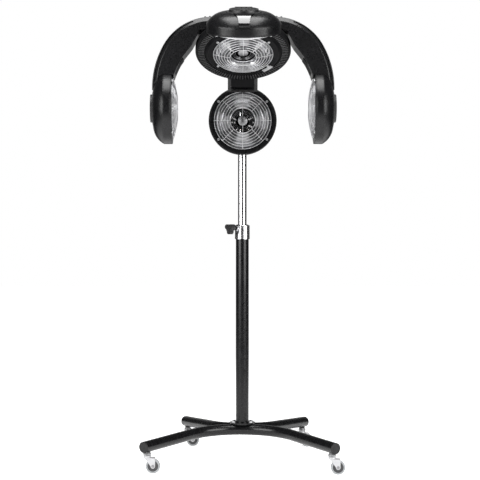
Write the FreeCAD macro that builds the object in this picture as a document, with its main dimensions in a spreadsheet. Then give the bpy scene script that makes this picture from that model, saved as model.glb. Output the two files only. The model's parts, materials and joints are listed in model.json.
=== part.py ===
"""Hair colour processor on a rolling stand: five infrared lamp pods round the client's head.

Millimetres, +Z up. The origin is on the floor, on the axis of the pole; the client sits on the
-Y side, and +X is to the right of someone who looks along +Y.
"""
import FreeCAD, Part
import math
import os
import Sketcher

os.makedirs("parts", exist_ok=True)
doc = FreeCAD.newDocument("HairColourProcessor")
V = FreeCAD.Vector

# ---------------------------------------------------------------- driving dimensions
# (alias, value, what it is); lengths in millimetres, angles in degrees
DIMENSIONS = [
    ("wall", 3.0, "wall of every moulded housing"),
    ("seat_gap", 0.3, "gap between moulded pieces that sit in each other"),
    ("running_fit", 0.05, "radial clearance of pins, shafts and stems"),
    ("base_turn", -2.3, "how far the foot is turned against the head at rest"),
    ("leg_radius", 20.0, "outer radius of the leg tubes"),
    ("leg_wall", 2.0, "wall of the leg tubes"),
    ("bow_height", 113.0, "centre of both leg bows at the middle, over the floor"),
    ("bow_lap", 0.5, "how far each bow is pressed past the middle, for the weld"),
    ("front_bend", 228.0, "bend radius of the front leg bow"),
    ("front_spread", 55.0, "turn of each front leg away from the X axis"),
    ("front_leg", 254.0, "straight length of each front leg"),
    ("front_slope", 4.1, "fall of the front bow"),
    ("rear_bend", 116.0, "bend radius of the rear leg bow"),
    ("rear_spread", 62.0, "turn of each rear leg away from the X axis"),
    ("rear_leg", 281.3, "straight length of each rear leg"),
    ("rear_slope", 3.2, "fall of the rear bow"),
    ("stem_inset", 18.0, "caster stem to the end of its leg"),
    ("cap_thickness", 3.5, "visible thickness of a leg end cap"),
    ("cap_plug", 5.5, "length of a leg end cap inside its tube"),
    ("wheel_radius", 25.0, "caster wheel"),
    ("wheel_width", 21.0, "caster wheel across the tread"),
    ("fork_side", 2.0, "thickness of a caster fork's cheeks"),
    ("wheel_side_gap", 1.2, "wheel to fork cheek"),
    ("caster_trail", 20.0, "swivel axis to wheel axle"),
    ("swivel_radius", 13.5, "caster swivel housing"),
    ("swivel_height", 11.0, "height of the caster swivel housing"),
    ("stem_radius", 5.0, "caster stem"),
    ("stem_length", 22.0, "caster stem over its swivel housing"),
    ("axle_radius", 3.0, "caster axle"),
    ("socket_radius", 11.0, "stem socket under each leg"),
    ("plate_radius", 48.0, "foot plate under the pole"),
    ("plate_thickness", 6.0, "foot plate under the pole"),
    ("spigot_height", 60.0, "stub of the foot plate inside the pole"),
    ("bolt_spacing", 32.0, "foot bolts from the middle, along X"),
    ("bolt_radius", 4.0, "foot bolt shank"),
    ("bolt_head", 6.5, "foot bolt head radius"),
    ("bolt_head_height", 5.0, "foot bolt head"),
    ("bolt_length", 14.0, "foot bolt under its head"),
    ("pole_radius", 24.0, "outer radius of the pole"),
    ("pole_wall", 2.0, "wall of the pole"),
    ("pole_length", 706.0, "pole from the foot plate to its top"),
    ("collar_radius", 27.5, "clamp collar"),
    ("collar_skirt", 26.0, "length of the collar round the pole's top"),
    ("collar_neck", 26.0, "length of the collar over the pole's top"),
    ("bush_wall", 3.6, "wall of the plastic bush in the collar"),
    ("bush_lip", 2.0, "bush standing out over the collar"),
    ("mast_radius", 16.0, "outer radius of the sliding mast"),
    ("mast_wall", 1.5, "wall of the sliding mast"),
    ("mast_out", 475.0, "mast standing out over the collar at rest"),
    ("mast_in", 345.0, "mast inside the pole at rest"),
    ("knob_radius", 21.5, "lobes of the clamp and tilt knobs"),
    ("knob_thickness", 18.0, "clamp and tilt knobs"),
    ("knob_stand", 52.0, "pole axis to the inner face of the clamp knob"),
    ("knob_bearing", 225.0, "direction of the clamp knob round the pole"),
    ("stud_radius", 4.0, "threaded stud of a knob"),
    ("yoke_radius", 22.5, "socket of the yoke on the mast"),
    ("yoke_socket", 48.0, "depth of the yoke's socket"),
    ("yoke_cap", 8.0, "top of the yoke's socket over the mast"),
    ("tilt_rise", 45.0, "mast top to the tilt axis"),
    ("tilt_eye", 19.0, "radius of the tilt lug and of the yoke's ears"),
    ("tilt_bolt", 6.0, "radius of the tilt bolt"),
    ("lug_width", 33.0, "tilt lug across"),
    ("lug_height", 38.0, "tilt lug, top to bottom"),
    ("ear_thickness", 8.0, "one ear of the yoke"),
    ("lug_side_gap", 0.3, "tilt lug to each ear"),
    ("box_width", 104.0, "control box along X"),
    ("box_depth", 53.0, "control box along Y"),
    ("box_height", 95.0, "control box along Z"),
    ("box_drop", 15.0, "tilt axis to the top of the control box"),
    ("box_stand", 26.0, "mast axis to the front of the control box"),
    ("timer_radius", 17.0, "timer knob"),
    ("timer_length", 16.0, "timer knob"),
    ("timer_offset", 24.0, "timer knob and rocker from the middle of the panel"),
    ("rocker_radius", 13.0, "rocker switch round its pivot"),
    ("rocker_width", 19.0, "rocker switch along its pivot"),
    ("inlet_width", 28.0, "mains inlet body along X"),
    ("inlet_depth", 20.0, "mains inlet body along Y"),
    ("inlet_height", 20.0, "mains inlet body inside the box"),
    ("head_reach", 350.0, "pole axis to the middle of the client's head"),
    ("hub_rise", 65.0, "tilt axis to the face of the hub lamp"),
    ("hub_tilt", 28.0, "hub lamp out of level, front edge up"),
    ("hub_radius", 165.0, "edge of the hub"),
    ("hub_step", 7.0, "ribbed ring over the hub lamp's face"),
    ("hub_rim", 22.0, "top of the hub's edge over the lamp's face"),
    ("hub_shoulder", 132.0, "inner edge of the ribbed ring"),
    ("crown_radius", 118.0, "crown of the hub cover"),
    ("crown_bend", 58.0, "rounding of the crown"),
    ("crown_height", 110.0, "top of the crown over the lamp's face"),
    ("hub_nose", 112.0, "front cut of the hub from the head's middle"),
    ("pod_radius", 122.5, "lamp pod"),
    ("pod_depth", 66.0, "lamp pod, face to flat back"),
    ("pod_back", 60.0, "flat back of a pod"),
    ("pod_bend", 71.0, "rounding of a pod's back"),
    ("lip_radius", 101.5, "hole in a pod's face ring"),
    ("vent_radius", 48.0, "top of a vent cover"),
    ("vent_draft", 1.0, "spread of a vent cover's wall at its foot"),
    ("vent_foot", 1.6, "thickness of a vent cover's foot flange"),
    ("vent_rise", 9.5, "vent cover over the pod's back"),
    ("vent_hole", 44.0, "air hole in a pod's back"),
    ("reflector_hole", 44.0, "air hole in the middle of a reflector"),
    ("reflector_depth", 45.0, "reflector bowl"),
    ("reflector_sheet", 1.0, "sheet of the reflector"),
    ("reflector_seam", 1.2, "reflector's mouth inside the face ring"),
    ("flange_lap", 2.0, "reflector's flange over the face ring"),
    ("screw_circle", 110.5, "guard screws"),
    ("screw_turn", 38.0, "first guard screw off the pod's side"),
    ("tab_width", 6.0, "tabs of the reflector under the screws"),
    ("screw_radius", 2.0, "guard screw shank"),
    ("screw_head", 4.2, "guard screw head radius"),
    ("guard_wire", 0.9, "radius of the guard's wire"),
    ("guard_pitch", 9.5, "spacing of the guard's rings"),
    ("duct_radius", 43.4, "air duct round the fan, outside"),
    ("duct_wall", 2.0, "wall of the air duct"),
    ("duct_front", 1.0, "grille of the air duct behind the lamp's face"),
    ("duct_ring", 8.0, "spacing of the duct grille's rings"),
    ("duct_bar", 2.0, "width of the duct grille's rings and bars"),
    ("duct_boss", 18.0, "boss in the middle of the duct's grille"),
    ("guard_bulge", 20.0, "guard in front of the face at its middle"),
    ("guard_long_spoke", 17.0, "inner end of the guard's two long spokes, off the axis"),
    ("guard_edge", 102.6, "outer ring of the guard"),
    ("heater_ring", 73.0, "quartz ring heater"),
    ("heater_tube", 4.5, "radius of the heater's tube"),
    ("heater_depth", 23.0, "heater behind the face"),
    ("heater_foot", 2.4, "radius of the heater's feet"),
    ("fan_radius", 38.0, "fan blades"),
    ("fan_hub", 13.0, "fan hub"),
    ("fan_back", 2.5, "fan behind the reflector"),
    ("fan_height", 9.5, "fan blades along their axis"),
    ("fan_shaft", 2.5, "motor shaft radius"),
    ("motor_radius", 17.0, "fan motor"),
    ("motor_gap", 2.0, "fan to its motor"),
    ("side_reach", 244.0, "head's middle to the face of a side pod"),
    ("side_drop", 188.0, "hub lamp's face down to the middle of the side pods"),
    ("rear_reach", 195.0, "head's middle to the face of the rear pod"),
    ("rear_drop", 211.0, "hub lamp's face down to the middle of the rear pod"),
    ("front_reach", 235.0, "head's middle to the middle of the front pod's face"),
    ("front_rise", 37.0, "hub lamp's face up to the middle of the front pod's face"),
    ("front_tilt", 18.0, "front pod out of level, front edge down"),
    ("arm_width", 107.0, "arms, front to back"),
    ("arm_bevel", 16.0, "bevel of the arms' outer edges"),
    ("arm_wall", 4.0, "wall of the arms"),
    ("arm_rise", 14.0, "straight start of an arm's inner face over the last bend"),
    ("arm_lap", 2.0, "arm standing out over a pod's flat back"),
    ("arm_clear", 1.0, "vent cover to the end of an arm"),
    ("arm_toe", 6.0, "straight end of an arm below its last bend"),
    ("arm_inset", 1.0, "inner face of an arm from the pod's face"),
    ("arm_sweep", 298.5, "bend of the arms beside the pods"),
    ("arm_shoulder", 188.5, "bend of the arms' shoulders"),
    ("arm_turn", 29.7, "where the arm's two bends meet"),
    ("arm_depth", 79.5, "thickness of an arm where its two bends meet"),
    ("arm_hollow_bend", 330.0, "bend of an arm's inner face"),
    ("knuckle", 30.0, "radius of an arm's hinge knuckle"),
    ("ridge", 4.0, "radius of the grip ridges across a knuckle"),
    ("ridge_rise", 3.2, "grip ridges over an arm"),
    ("hinge_pin", 6.0, "radius of the arm hinge pins"),
    ("tongue_width", 29.0, "hinge tongue of the hub, along the pin"),
    ("tongue_eye", 23.0, "radius of the hub's hinge tongues"),
    ("tongue_gap", 0.5, "hinge tongue to each cheek of the arm"),
    ("cover_margin", 12.0, "edge of an arm round its inner cover"),
    ("cover_recess", 1.2, "inner cover behind the arm's face"),
    ("cover_sheet", 2.2, "thickness of an arm's inner cover"),
    ("flip_reach", 105.0, "head's middle to the front pod's hinge"),
    ("flip_rise", 120.0, "hub lamp's face up to the front pod's hinge"),
    ("flip_eye", 18.0, "radius of the front pod's hinge eyes"),
    ("flip_pin", 4.0, "radius of the front pod's hinge pin"),
    ("flip_tongue", 24.0, "tongue of the front hinge, along the pin"),
    ("link_width", 58.0, "front pod's link, along the pin"),
    ("grip_width", 33.0, "grip tongue at the pod's rim"),
    ("grip_waist_width", 43.0, "grip tongue halfway down"),
    ("grip_top_width", 70.0, "grip tongue at the vent"),
    ("grip_thickness", 4.0, "grip tongue"),
]

sheet = doc.addObject("Spreadsheet::Sheet", "Sizes")
for row, (alias, number, meaning) in enumerate(DIMENSIONS, start=1):
    sheet.set(f"A{row}", meaning)
    sheet.set(f"B{row}", str(number))
    sheet.setAlias(f"B{row}", alias)
doc.recompute()


# ---------------------------------------------------------------- sizes with their formulas
class Size:
    """A length or an angle: its value now, and the sheet formula that it comes from."""

    def __init__(self, value, formula):
        self.value = float(value)
        self.formula = formula

    @staticmethod
    def of(other):
        return other if isinstance(other, Size) else Size(other, f"({other})")

    def __add__(self, other):
        other = Size.of(other)
        return Size(self.value + other.value, f"({self.formula} + {other.formula})")

    def __sub__(self, other):
        other = Size.of(other)
        return Size(self.value - other.value, f"({self.formula} - {other.formula})")

    def __mul__(self, other):
        other = Size.of(other)
        return Size(self.value * other.value, f"({self.formula} * {other.formula})")

    def __truediv__(self, other):
        other = Size.of(other)
        return Size(self.value / other.value, f"({self.formula} / {other.formula})")

    def __neg__(self):
        return Size(-self.value, f"(0 - {self.formula})")

    __radd__ = __add__
    __rmul__ = __mul__

    def __rsub__(self, other):
        return Size.of(other) - self


def sine(angle):
    angle = Size.of(angle)
    return Size(math.sin(math.radians(angle.value)), f"sin({angle.formula})")


def cosine(angle):
    angle = Size.of(angle)
    return Size(math.cos(math.radians(angle.value)), f"cos({angle.formula})")


def arc_sine(ratio):
    return Size(math.degrees(math.asin(ratio.value)), f"asin({ratio.formula})")


def root(square):
    return Size(math.sqrt(square.value), f"sqrt({square.formula})")


class Sheet:
    """The driving dimensions, read by name."""

    def __getattr__(self, alias):
        return Size(sheet.get(alias), f"Sizes.{alias}")


S = Sheet()

X_AXIS = (1, 0, 0)
Y_AXIS = (0, 1, 0)
Z_AXIS = (0, 0, 1)


def at(x, y, z, axis=Z_AXIS, angle=0):
    """Formula of one placement: a point, and a turn about an axis through it."""
    x, y, z, angle = Size.of(x), Size.of(y), Size.of(z), Size.of(angle)
    way = "; ".join(str(part) for part in axis)
    point = f"vector({x.formula}; {y.formula}; {z.formula})"
    return f"placement({point}; rotation(vector({way}); {angle.formula}))"


def put(thing, *places):
    """Bind a sub-part's Placement to the product of the places, outermost first."""
    thing.setExpression("Placement", " * ".join(places))
    return thing


def bind(thing, **sizes):
    """Bind each named property to its formula, with its value as a start."""
    for name, size in sizes.items():
        size = Size.of(size)
        setattr(thing, name, size.value)
        thing.setExpression(name, size.formula)
    return thing


def named(thing, label):
    thing.Label = label
    return thing


# ---------------------------------------------------------------- ways of making a sub-part
def origin_plane(body, role):
    return next(item for item in body.Origin.OriginFeatures if item.Role == role)


def pin_coordinate(sketch, kind, line, end, size):
    """Tie one coordinate of a sketch point to its formula, or to the axis if it is nought."""
    if abs(size.value) < 1e-9:
        axis = -2 if kind == "DistanceX" else -1
        sketch.addConstraint(Sketcher.Constraint("PointOnObject", line, end, axis))
        return
    index = sketch.addConstraint(Sketcher.Constraint(kind, -1, 1, line, end, size.value))
    sketch.setExpression(f"Constraints[{index}]", size.formula)


def arc_between(start, end, radius, side):
    """The shorter arc from start to end; side +1 puts its middle on the left of the chord."""
    chord = end - start
    half = chord.Length / 2
    left = V(-chord.y, chord.x, 0).normalize()
    centre = (start + end) / 2 - left * (math.sqrt(max(radius * radius - half * half, 0.0)) * side)
    first, last = (end, start) if side > 0 else (start, end)
    opening = math.atan2(first.y - centre.y, first.x - centre.x)
    closing = math.atan2(last.y - centre.y, last.x - centre.x)
    return Part.ArcOfCircle(Part.Circle(centre, V(0, 0, 1), radius), opening, closing)


def closed_outline(sketch, corners):
    """Close the corners with lines and arcs; a corner is (x, y) or (x, y, radius, side)."""
    corners = [tuple(Size.of(number) for number in corner[:3]) + tuple(corner[3:]) for corner in corners]
    points = [V(corner[0].value, corner[1].value, 0) for corner in corners]
    count = len(corners)
    starts = []
    ends = []
    for index in range(count):
        begin = points[index - 1]
        finish = points[index]
        if len(corners[index]) == 4:
            radius = corners[index][2]
            curve = arc_between(begin, finish, radius.value, corners[index][3])
            line = sketch.addGeometry(curve)
            forward = sketch.Geometry[line].StartPoint.distanceToPoint(begin) < 1e-6
            sketch_radius = sketch.addConstraint(Sketcher.Constraint("Radius", line, radius.value))
            sketch.setExpression(f"Constraints[{sketch_radius}]", radius.formula)
        else:
            line = sketch.addGeometry(Part.LineSegment(begin, finish))
            forward = True
        starts.append((line, 1 if forward else 2))
        ends.append((line, 2 if forward else 1))
    for index in range(count):
        line, end = ends[index]
        after, start = starts[(index + 1) % count]
        sketch.addConstraint(Sketcher.Constraint("Coincident", line, end, after, start))
        pin_coordinate(sketch, "DistanceX", line, end, corners[index][0])
        pin_coordinate(sketch, "DistanceY", line, end, corners[index][1])


def sketch_on(body, name, role):
    sketch = body.newObject("Sketcher::SketchObject", name)
    sketch.AttachmentSupport = [(origin_plane(body, role), "")]
    sketch.MapMode = "FlatFace"
    return sketch


def turned(name, corners):
    """A body turned about its own Z axis from (radius, height) corners."""
    body = doc.addObject("PartDesign::Body", name)
    sketch = sketch_on(body, f"{name}_section", "XZ_Plane")
    closed_outline(sketch, corners)
    feature = body.newObject("PartDesign::Revolution", f"{name}_turning")
    feature.Profile = sketch
    feature.ReferenceAxis = (sketch, ["V_Axis"])
    feature.Angle = 360
    return body


def padded(name, role, corners, width):
    """A body from an outline on one of its origin planes, as thick to both sides."""
    body = doc.addObject("PartDesign::Body", name)
    sketch = sketch_on(body, f"{name}_outline", role)
    closed_outline(sketch, corners)
    feature = body.newObject("PartDesign::Pad", f"{name}_pad")
    feature.Profile = sketch
    feature.Midplane = True
    bind(feature, Length=width)
    return body


def cylinder(name, radius, height, *places):
    rod = doc.addObject("Part::Cylinder", name)
    bind(rod, Radius=radius, Height=height)
    return put(rod, *places) if places else rod


def box(name, x, y, z, length, width, height):
    """A block from its low corner and its three sides."""
    block = doc.addObject("Part::Box", name)
    bind(block, Length=length, Width=width, Height=height)
    return put(block, at(x, y, z))


def fused(name, *shapes):
    joined = doc.addObject("Part::MultiFuse", name)
    joined.Shapes = list(shapes)
    return joined


def cut(name, base, tool):
    rest = doc.addObject("Part::Cut", name)
    rest.Base = base
    rest.Tool = tool
    return rest


def common(name, base, tool):
    shared = doc.addObject("Part::Common", name)
    shared.Base = base
    shared.Tool = tool
    return shared


def group(name, *shapes):
    gathered = doc.addObject("Part::Compound", name)
    gathered.Links = list(shapes)
    return gathered


nodes = []


def node(label, thing):
    """Name a finished sub-part and keep it for the hand-over."""
    nodes.append(named(thing, label))
    return thing


# ---------------------------------------------------------------- heights up the stand
plate_top = S.bow_height + S.leg_radius - 1 + S.plate_thickness
pole_top = plate_top + S.pole_length
collar_foot = pole_top - S.collar_skirt
collar_top = pole_top + S.collar_neck
mast_top = collar_top + S.mast_out
mast_foot = pole_top - S.mast_in
tilt_axis = mast_top + S.tilt_rise
hub_height = tilt_axis + S.hub_rise
side_height = hub_height - S.side_drop
rear_height = hub_height - S.rear_drop
BASE = at(0, 0, 0, Z_AXIS, S.base_turn)

# ---------------------------------------------------------------- foot: two welded leg bows
def leg_bow(name, bend, spread, leg, hollow):
    """Half a bow in the XY plane from its middle, mirrored: an arc and a straight leg."""
    body = doc.addObject("PartDesign::Body", name)
    path = sketch_on(body, f"{name}_path", "XY_Plane")
    arc_x = -bend * sine(spread)
    arc_y = bend * cosine(spread) - bend
    end_x = arc_x - leg * cosine(spread)
    end_y = arc_y - leg * sine(spread)
    middle, knee, end = V(0, 0, 0), V(arc_x.value, arc_y.value, 0), V(end_x.value, end_y.value, 0)
    bent = path.addGeometry(arc_between(middle, knee, bend.value, -1))
    straight = path.addGeometry(Part.LineSegment(knee, end))
    path.addConstraint(Sketcher.Constraint("Coincident", bent, 1, -1, 1))
    path.addConstraint(Sketcher.Constraint("Coincident", bent, 2, straight, 1))
    pin_coordinate(path, "DistanceX", bent, 2, arc_x)
    pin_coordinate(path, "DistanceY", bent, 2, arc_y)
    radius = path.addConstraint(Sketcher.Constraint("Radius", bent, bend.value))
    path.setExpression(f"Constraints[{radius}]", bend.formula)
    pin_coordinate(path, "DistanceX", straight, 2, end_x)
    pin_coordinate(path, "DistanceY", straight, 2, end_y)
    ring = sketch_on(body, f"{name}_ring", "YZ_Plane")
    size = S.leg_radius - S.leg_wall if hollow else S.leg_radius
    circle = ring.addGeometry(Part.Circle(V(0, 0, 0), V(0, 0, 1), size.value))
    ring.addConstraint(Sketcher.Constraint("Coincident", circle, 3, -1, 1))
    rim = ring.addConstraint(Sketcher.Constraint("Radius", circle, size.value))
    ring.setExpression(f"Constraints[{rim}]", size.formula)
    pipe = body.newObject("PartDesign::AdditivePipe", f"{name}_pipe")
    pipe.Profile = ring
    pipe.Spine = path
    mirror = body.newObject("PartDesign::Mirrored", f"{name}_mirror")
    mirror.Originals = [pipe]
    mirror.MirrorPlane = (origin_plane(body, "YZ_Plane"), [""])
    body.Tip = mirror
    return body, -end_x, end_y


def bow_place(side):
    """Where a bow's middle is in the foot's frame: -1 for the front bow, +1 for the rear."""
    shift = S.leg_radius - S.bow_lap
    slope = S.front_slope if side < 0 else -S.rear_slope
    return at(0, shift * side, S.bow_height, X_AXIS, slope)


front_solid, front_x, front_y = leg_bow("front_bow", S.front_bend, S.front_spread, S.front_leg, False)
front_bore, _, _ = leg_bow("front_bore", S.front_bend, S.front_spread, S.front_leg, True)
rear_solid, rear_x, rear_y = leg_bow("rear_bow", S.rear_bend, S.rear_spread, S.rear_leg, False)
rear_bore, _, _ = leg_bow("rear_bore", S.rear_bend, S.rear_spread, S.rear_leg, True)
put(front_solid, bow_place(-1))
put(front_bore, bow_place(-1))
# the rear bow is the same kind of bow turned to the back
TO_BACK = at(0, 0, 0, Z_AXIS, 180)
put(rear_solid, bow_place(1), TO_BACK)
put(rear_bore, bow_place(1), TO_BACK)

# caster stems: (name, x, y, height of the tube's centre there)
front_run = -front_y - S.stem_inset * sine(S.front_spread)
rear_run = -rear_y - S.stem_inset * sine(S.rear_spread)
front_stem_x = front_x - S.stem_inset * cosine(S.front_spread)
rear_stem_x = rear_x - S.stem_inset * cosine(S.rear_spread)
front_stem_y = -(S.leg_radius - S.bow_lap + front_run * cosine(S.front_slope))
rear_stem_y = S.leg_radius - S.bow_lap + rear_run * cosine(S.rear_slope)
front_stem_z = S.bow_height - front_run * sine(S.front_slope)
rear_stem_z = S.bow_height - rear_run * sine(S.rear_slope)
CORNERS = [
    ("front_left", -front_stem_x, front_stem_y, front_stem_z),
    ("front_right", front_stem_x, front_stem_y, front_stem_z),
    ("rear_left", -rear_stem_x, rear_stem_y, rear_stem_z),
    ("rear_right", rear_stem_x, rear_stem_y, rear_stem_z),
]

swivel_top = S.wheel_radius * 2 + 3.5 + S.swivel_height
socket_foot = swivel_top + S.seat_gap
plate = cylinder("plate_disc", S.plate_radius, S.plate_thickness, at(0, 0, plate_top - S.plate_thickness))
spigot = cylinder("plate_spigot", S.pole_radius - S.pole_wall - S.seat_gap,
                  S.spigot_height + S.plate_thickness, at(0, 0, plate_top - S.plate_thickness))
sockets = [
    cylinder(f"{name}_socket", S.socket_radius, z - socket_foot, at(x, y, socket_foot))
    for name, x, y, z in CORNERS
]
stem_bores = [
    cylinder(f"{name}_stem_bore", S.stem_radius + S.running_fit, z, at(x, y, socket_foot - 1))
    for name, x, y, z in CORNERS
]
bolt_places = [(S.bolt_spacing * dx, (S.leg_radius - S.bow_lap) * dy) for dx in (-1, 1) for dy in (-1, 1)]
bolt_bores = [
    cylinder(f"bolt_bore_{number}", S.bolt_radius + S.running_fit, S.bolt_length + 2,
             at(x, y, plate_top - S.bolt_length))
    for number, (x, y) in enumerate(bolt_places, start=1)
]
leg_bores = fused("leg_bores", front_bore, rear_bore)
legs_solid = fused("legs_solid", front_solid, rear_solid)
legs = cut("legs", legs_solid, leg_bores)
welded = fused("welded_foot", legs, plate, spigot, *sockets)
foot = cut("foot", welded, fused("foot_bores", *stem_bores, *bolt_bores))
node("base_frame", put(foot, BASE))

bolts = [
    fused(f"bolt_{number}",
          cylinder(f"bolt_head_{number}", S.bolt_head, S.bolt_head_height, at(x, y, plate_top)),
          cylinder(f"bolt_shank_{number}", S.bolt_radius, S.bolt_length, at(x, y, plate_top - S.bolt_length)))
    for number, (x, y) in enumerate(bolt_places, start=1)
]
node("base_bolts", put(group("bolt_set", *bolts), BASE))


def leg_end(name, *places):
    """A cap on a tube's end: a flush disc and a plug inside; +X points out of the tube."""
    corners = [
        (0, -S.cap_plug), (S.leg_radius - S.leg_wall - S.seat_gap, -S.cap_plug),
        (S.leg_radius - S.leg_wall - S.seat_gap, 0), (S.leg_radius, 0),
        (S.leg_radius, S.cap_thickness / 2),
        (S.leg_radius - S.cap_thickness / 2, S.cap_thickness, S.cap_thickness / 2, -1),
        (0, S.cap_thickness),
    ]
    return put(turned(name, corners), *places)


FACE_X = at(0, 0, 0, Y_AXIS, 90)
caps = []
for side, hand in ((-1, "left"), (1, "right")):
    turn = -S.front_spread if side > 0 else S.front_spread - 180
    front_end = at(front_x * side, front_y, 0, Z_AXIS, turn)
    caps.append(leg_end(f"front_{hand}_cap", bow_place(-1), front_end, FACE_X))
    turn = -S.rear_spread if side > 0 else S.rear_spread - 180
    rear_end = at(rear_x * side, rear_y, 0, Z_AXIS, turn)
    caps.append(leg_end(f"rear_{hand}_cap", bow_place(1), TO_BACK, rear_end, FACE_X))
node("leg_end_caps", put(group("cap_set", *caps), BASE))


# ---------------------------------------------------------------- casters
fork_inner = S.wheel_width / 2 + S.wheel_side_gap
fork_outer = fork_inner + S.fork_side
bridge_low = S.wheel_radius * 2 + 1
swivel_low = swivel_top - S.swivel_height
axle_reach = S.axle_radius * 2.6


def caster_fork(name):
    """Swivel housing, stem, bridge, two cheeks and the riveted axle, about the stem's axis."""
    housing = turned(f"{name}_housing", [
        (0, swivel_low - 1), (S.swivel_radius - 2, swivel_low - 1),
        (S.swivel_radius, swivel_low + 1), (S.swivel_radius, swivel_top - 4),
        (S.stem_radius + 3, swivel_top), (S.stem_radius, swivel_top),
        (S.stem_radius, swivel_top + S.stem_length), (0, swivel_top + S.stem_length),
    ])
    bridge = box(f"{name}_bridge", -S.swivel_radius * 0.6, -fork_outer, bridge_low,
                 S.caster_trail + S.swivel_radius * 0.6 + axle_reach, fork_outer * 2, swivel_low - bridge_low)
    cheek_outline = [
        (-S.swivel_radius * 0.6, swivel_low), (S.caster_trail + axle_reach, swivel_low),
        (S.caster_trail + axle_reach, S.wheel_radius),
        (S.caster_trail, S.wheel_radius - axle_reach, axle_reach, 1),
        (S.caster_trail - axle_reach, S.wheel_radius, axle_reach, 1),
    ]
    cheeks = padded(f"{name}_cheeks", "XZ_Plane", cheek_outline, fork_outer * 2)
    space = box(f"{name}_space", -100, -fork_inner, 0, 200, fork_inner * 2, bridge_low)
    axle = cylinder(f"{name}_axle", S.axle_radius, fork_outer * 2 + 3,
                    at(S.caster_trail, fork_outer + 1.5, S.wheel_radius, X_AXIS, 90))
    return fused(f"{name}_fork", housing, bridge, cut(f"{name}_legs", cheeks, space), axle)


def caster_wheel(name):
    """Grey tread on a hub, about its own axle, Z along the axle."""
    half = S.wheel_width / 2
    bore = S.axle_radius + S.running_fit
    hub_face = half + S.wheel_side_gap - S.seat_gap
    corners = [
        (bore, -hub_face), (bore + 4, -hub_face), (bore + 4, -half * 0.55),
        (S.wheel_radius - 6, -half * 0.55), (S.wheel_radius - 6, -half),
        (S.wheel_radius - 3, -half), (S.wheel_radius, 3 - half, 3, -1), (S.wheel_radius, half - 3),
        (S.wheel_radius - 3, half, 3, -1), (S.wheel_radius - 6, half),
        (S.wheel_radius - 6, half * 0.55), (bore + 4, half * 0.55), (bore + 4, hub_face), (bore, hub_face),
    ]
    return turned(f"{name}_tyre", corners)


for name, x, y, _ in CORNERS:
    here = at(x, y, 0, Z_AXIS, -S.base_turn)
    node(f"caster_fork_{name}", put(caster_fork(name), BASE, here))
    axle_place = at(S.caster_trail, 0, S.wheel_radius, X_AXIS, 90)
    node(f"caster_wheel_{name}", put(caster_wheel(name), BASE, here, axle_place))

# ---------------------------------------------------------------- pole, collar and mast
pole = turned("pole", [
    (S.pole_radius - S.pole_wall, plate_top), (S.pole_radius, plate_top),
    (S.pole_radius, pole_top), (S.pole_radius - S.pole_wall, pole_top),
])
node("pole_tube", put(pole, BASE))

bush_outer = S.mast_radius + S.running_fit * 2 + S.bush_wall
knob_height = pole_top + S.collar_neck / 2
KNOB_WAY = [at(0, 0, knob_height, Z_AXIS, S.knob_bearing), FACE_X]
collar_body = turned("collar", [
    (S.pole_radius + S.running_fit, collar_foot), (S.collar_radius, collar_foot),
    (S.collar_radius, collar_top - 2), (S.collar_radius - 2, collar_top),
    (bush_outer + S.running_fit, collar_top), (bush_outer + S.running_fit, pole_top + S.running_fit),
    (S.pole_radius + S.running_fit, pole_top + S.running_fit),
])
boss_reach = S.collar_radius + 6
boss = cylinder("collar_boss", S.stud_radius + 5, boss_reach - bush_outer - 1,
                at(0, 0, knob_height, Z_AXIS, S.knob_bearing), at(bush_outer + 1, 0, 0, Y_AXIS, 90))
stud_bore = cylinder("stud_bore", S.stud_radius + S.running_fit, S.knob_stand, *KNOB_WAY)
collar = cut("collar_part", fused("collar_block", collar_body, boss), stud_bore)
node("pole_collar", put(collar, BASE))

bush = turned("bush", [
    (S.mast_radius + S.running_fit * 2, pole_top + S.seat_gap), (bush_outer, pole_top + S.seat_gap),
    (bush_outer, collar_top), (bush_outer + 2, collar_top), (bush_outer + 2, collar_top + S.bush_lip),
    (S.mast_radius + S.running_fit * 2, collar_top + S.bush_lip),
])
bush_bore = cylinder("bush_bore", S.stud_radius + S.running_fit, S.knob_stand, *KNOB_WAY)
node("collar_bush", put(cut("bush_part", bush, bush_bore), BASE))


def lobed_knob(name, first, second, shank):
    """A three-lobed knob on its stud; Z runs from the stud's tip outwards through the knob."""
    lobe = S.knob_radius * 0.42
    middle = cylinder(f"{name}_middle", S.knob_radius * 0.62, second - first, at(0, 0, first))
    lobes = [
        cylinder(f"{name}_lobe_{number}", lobe, second - first,
                 at(0, 0, first, Z_AXIS, 120 * number), at(S.knob_radius - lobe, 0, 0))
        for number in range(3)
    ]
    neck = cylinder(f"{name}_neck", shank * 2, 6, at(0, 0, first - 5))
    return fused(f"{name}_head", middle, neck, *lobes)


stud_tip = S.mast_radius + S.seat_gap
clamp = lobed_knob("clamp", S.knob_stand, S.knob_stand + S.knob_thickness, S.stud_radius)
clamp_stud = cylinder("clamp_stud", S.stud_radius, S.knob_stand - stud_tip, at(0, 0, stud_tip))
node("clamp_knob", put(fused("clamp_part", clamp, clamp_stud), BASE, *KNOB_WAY))

node("mast_tube", turned("mast", [
    (S.mast_radius - S.mast_wall, mast_foot), (S.mast_radius, mast_foot),
    (S.mast_radius, mast_top), (S.mast_radius - S.mast_wall, mast_top),
]))

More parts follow.
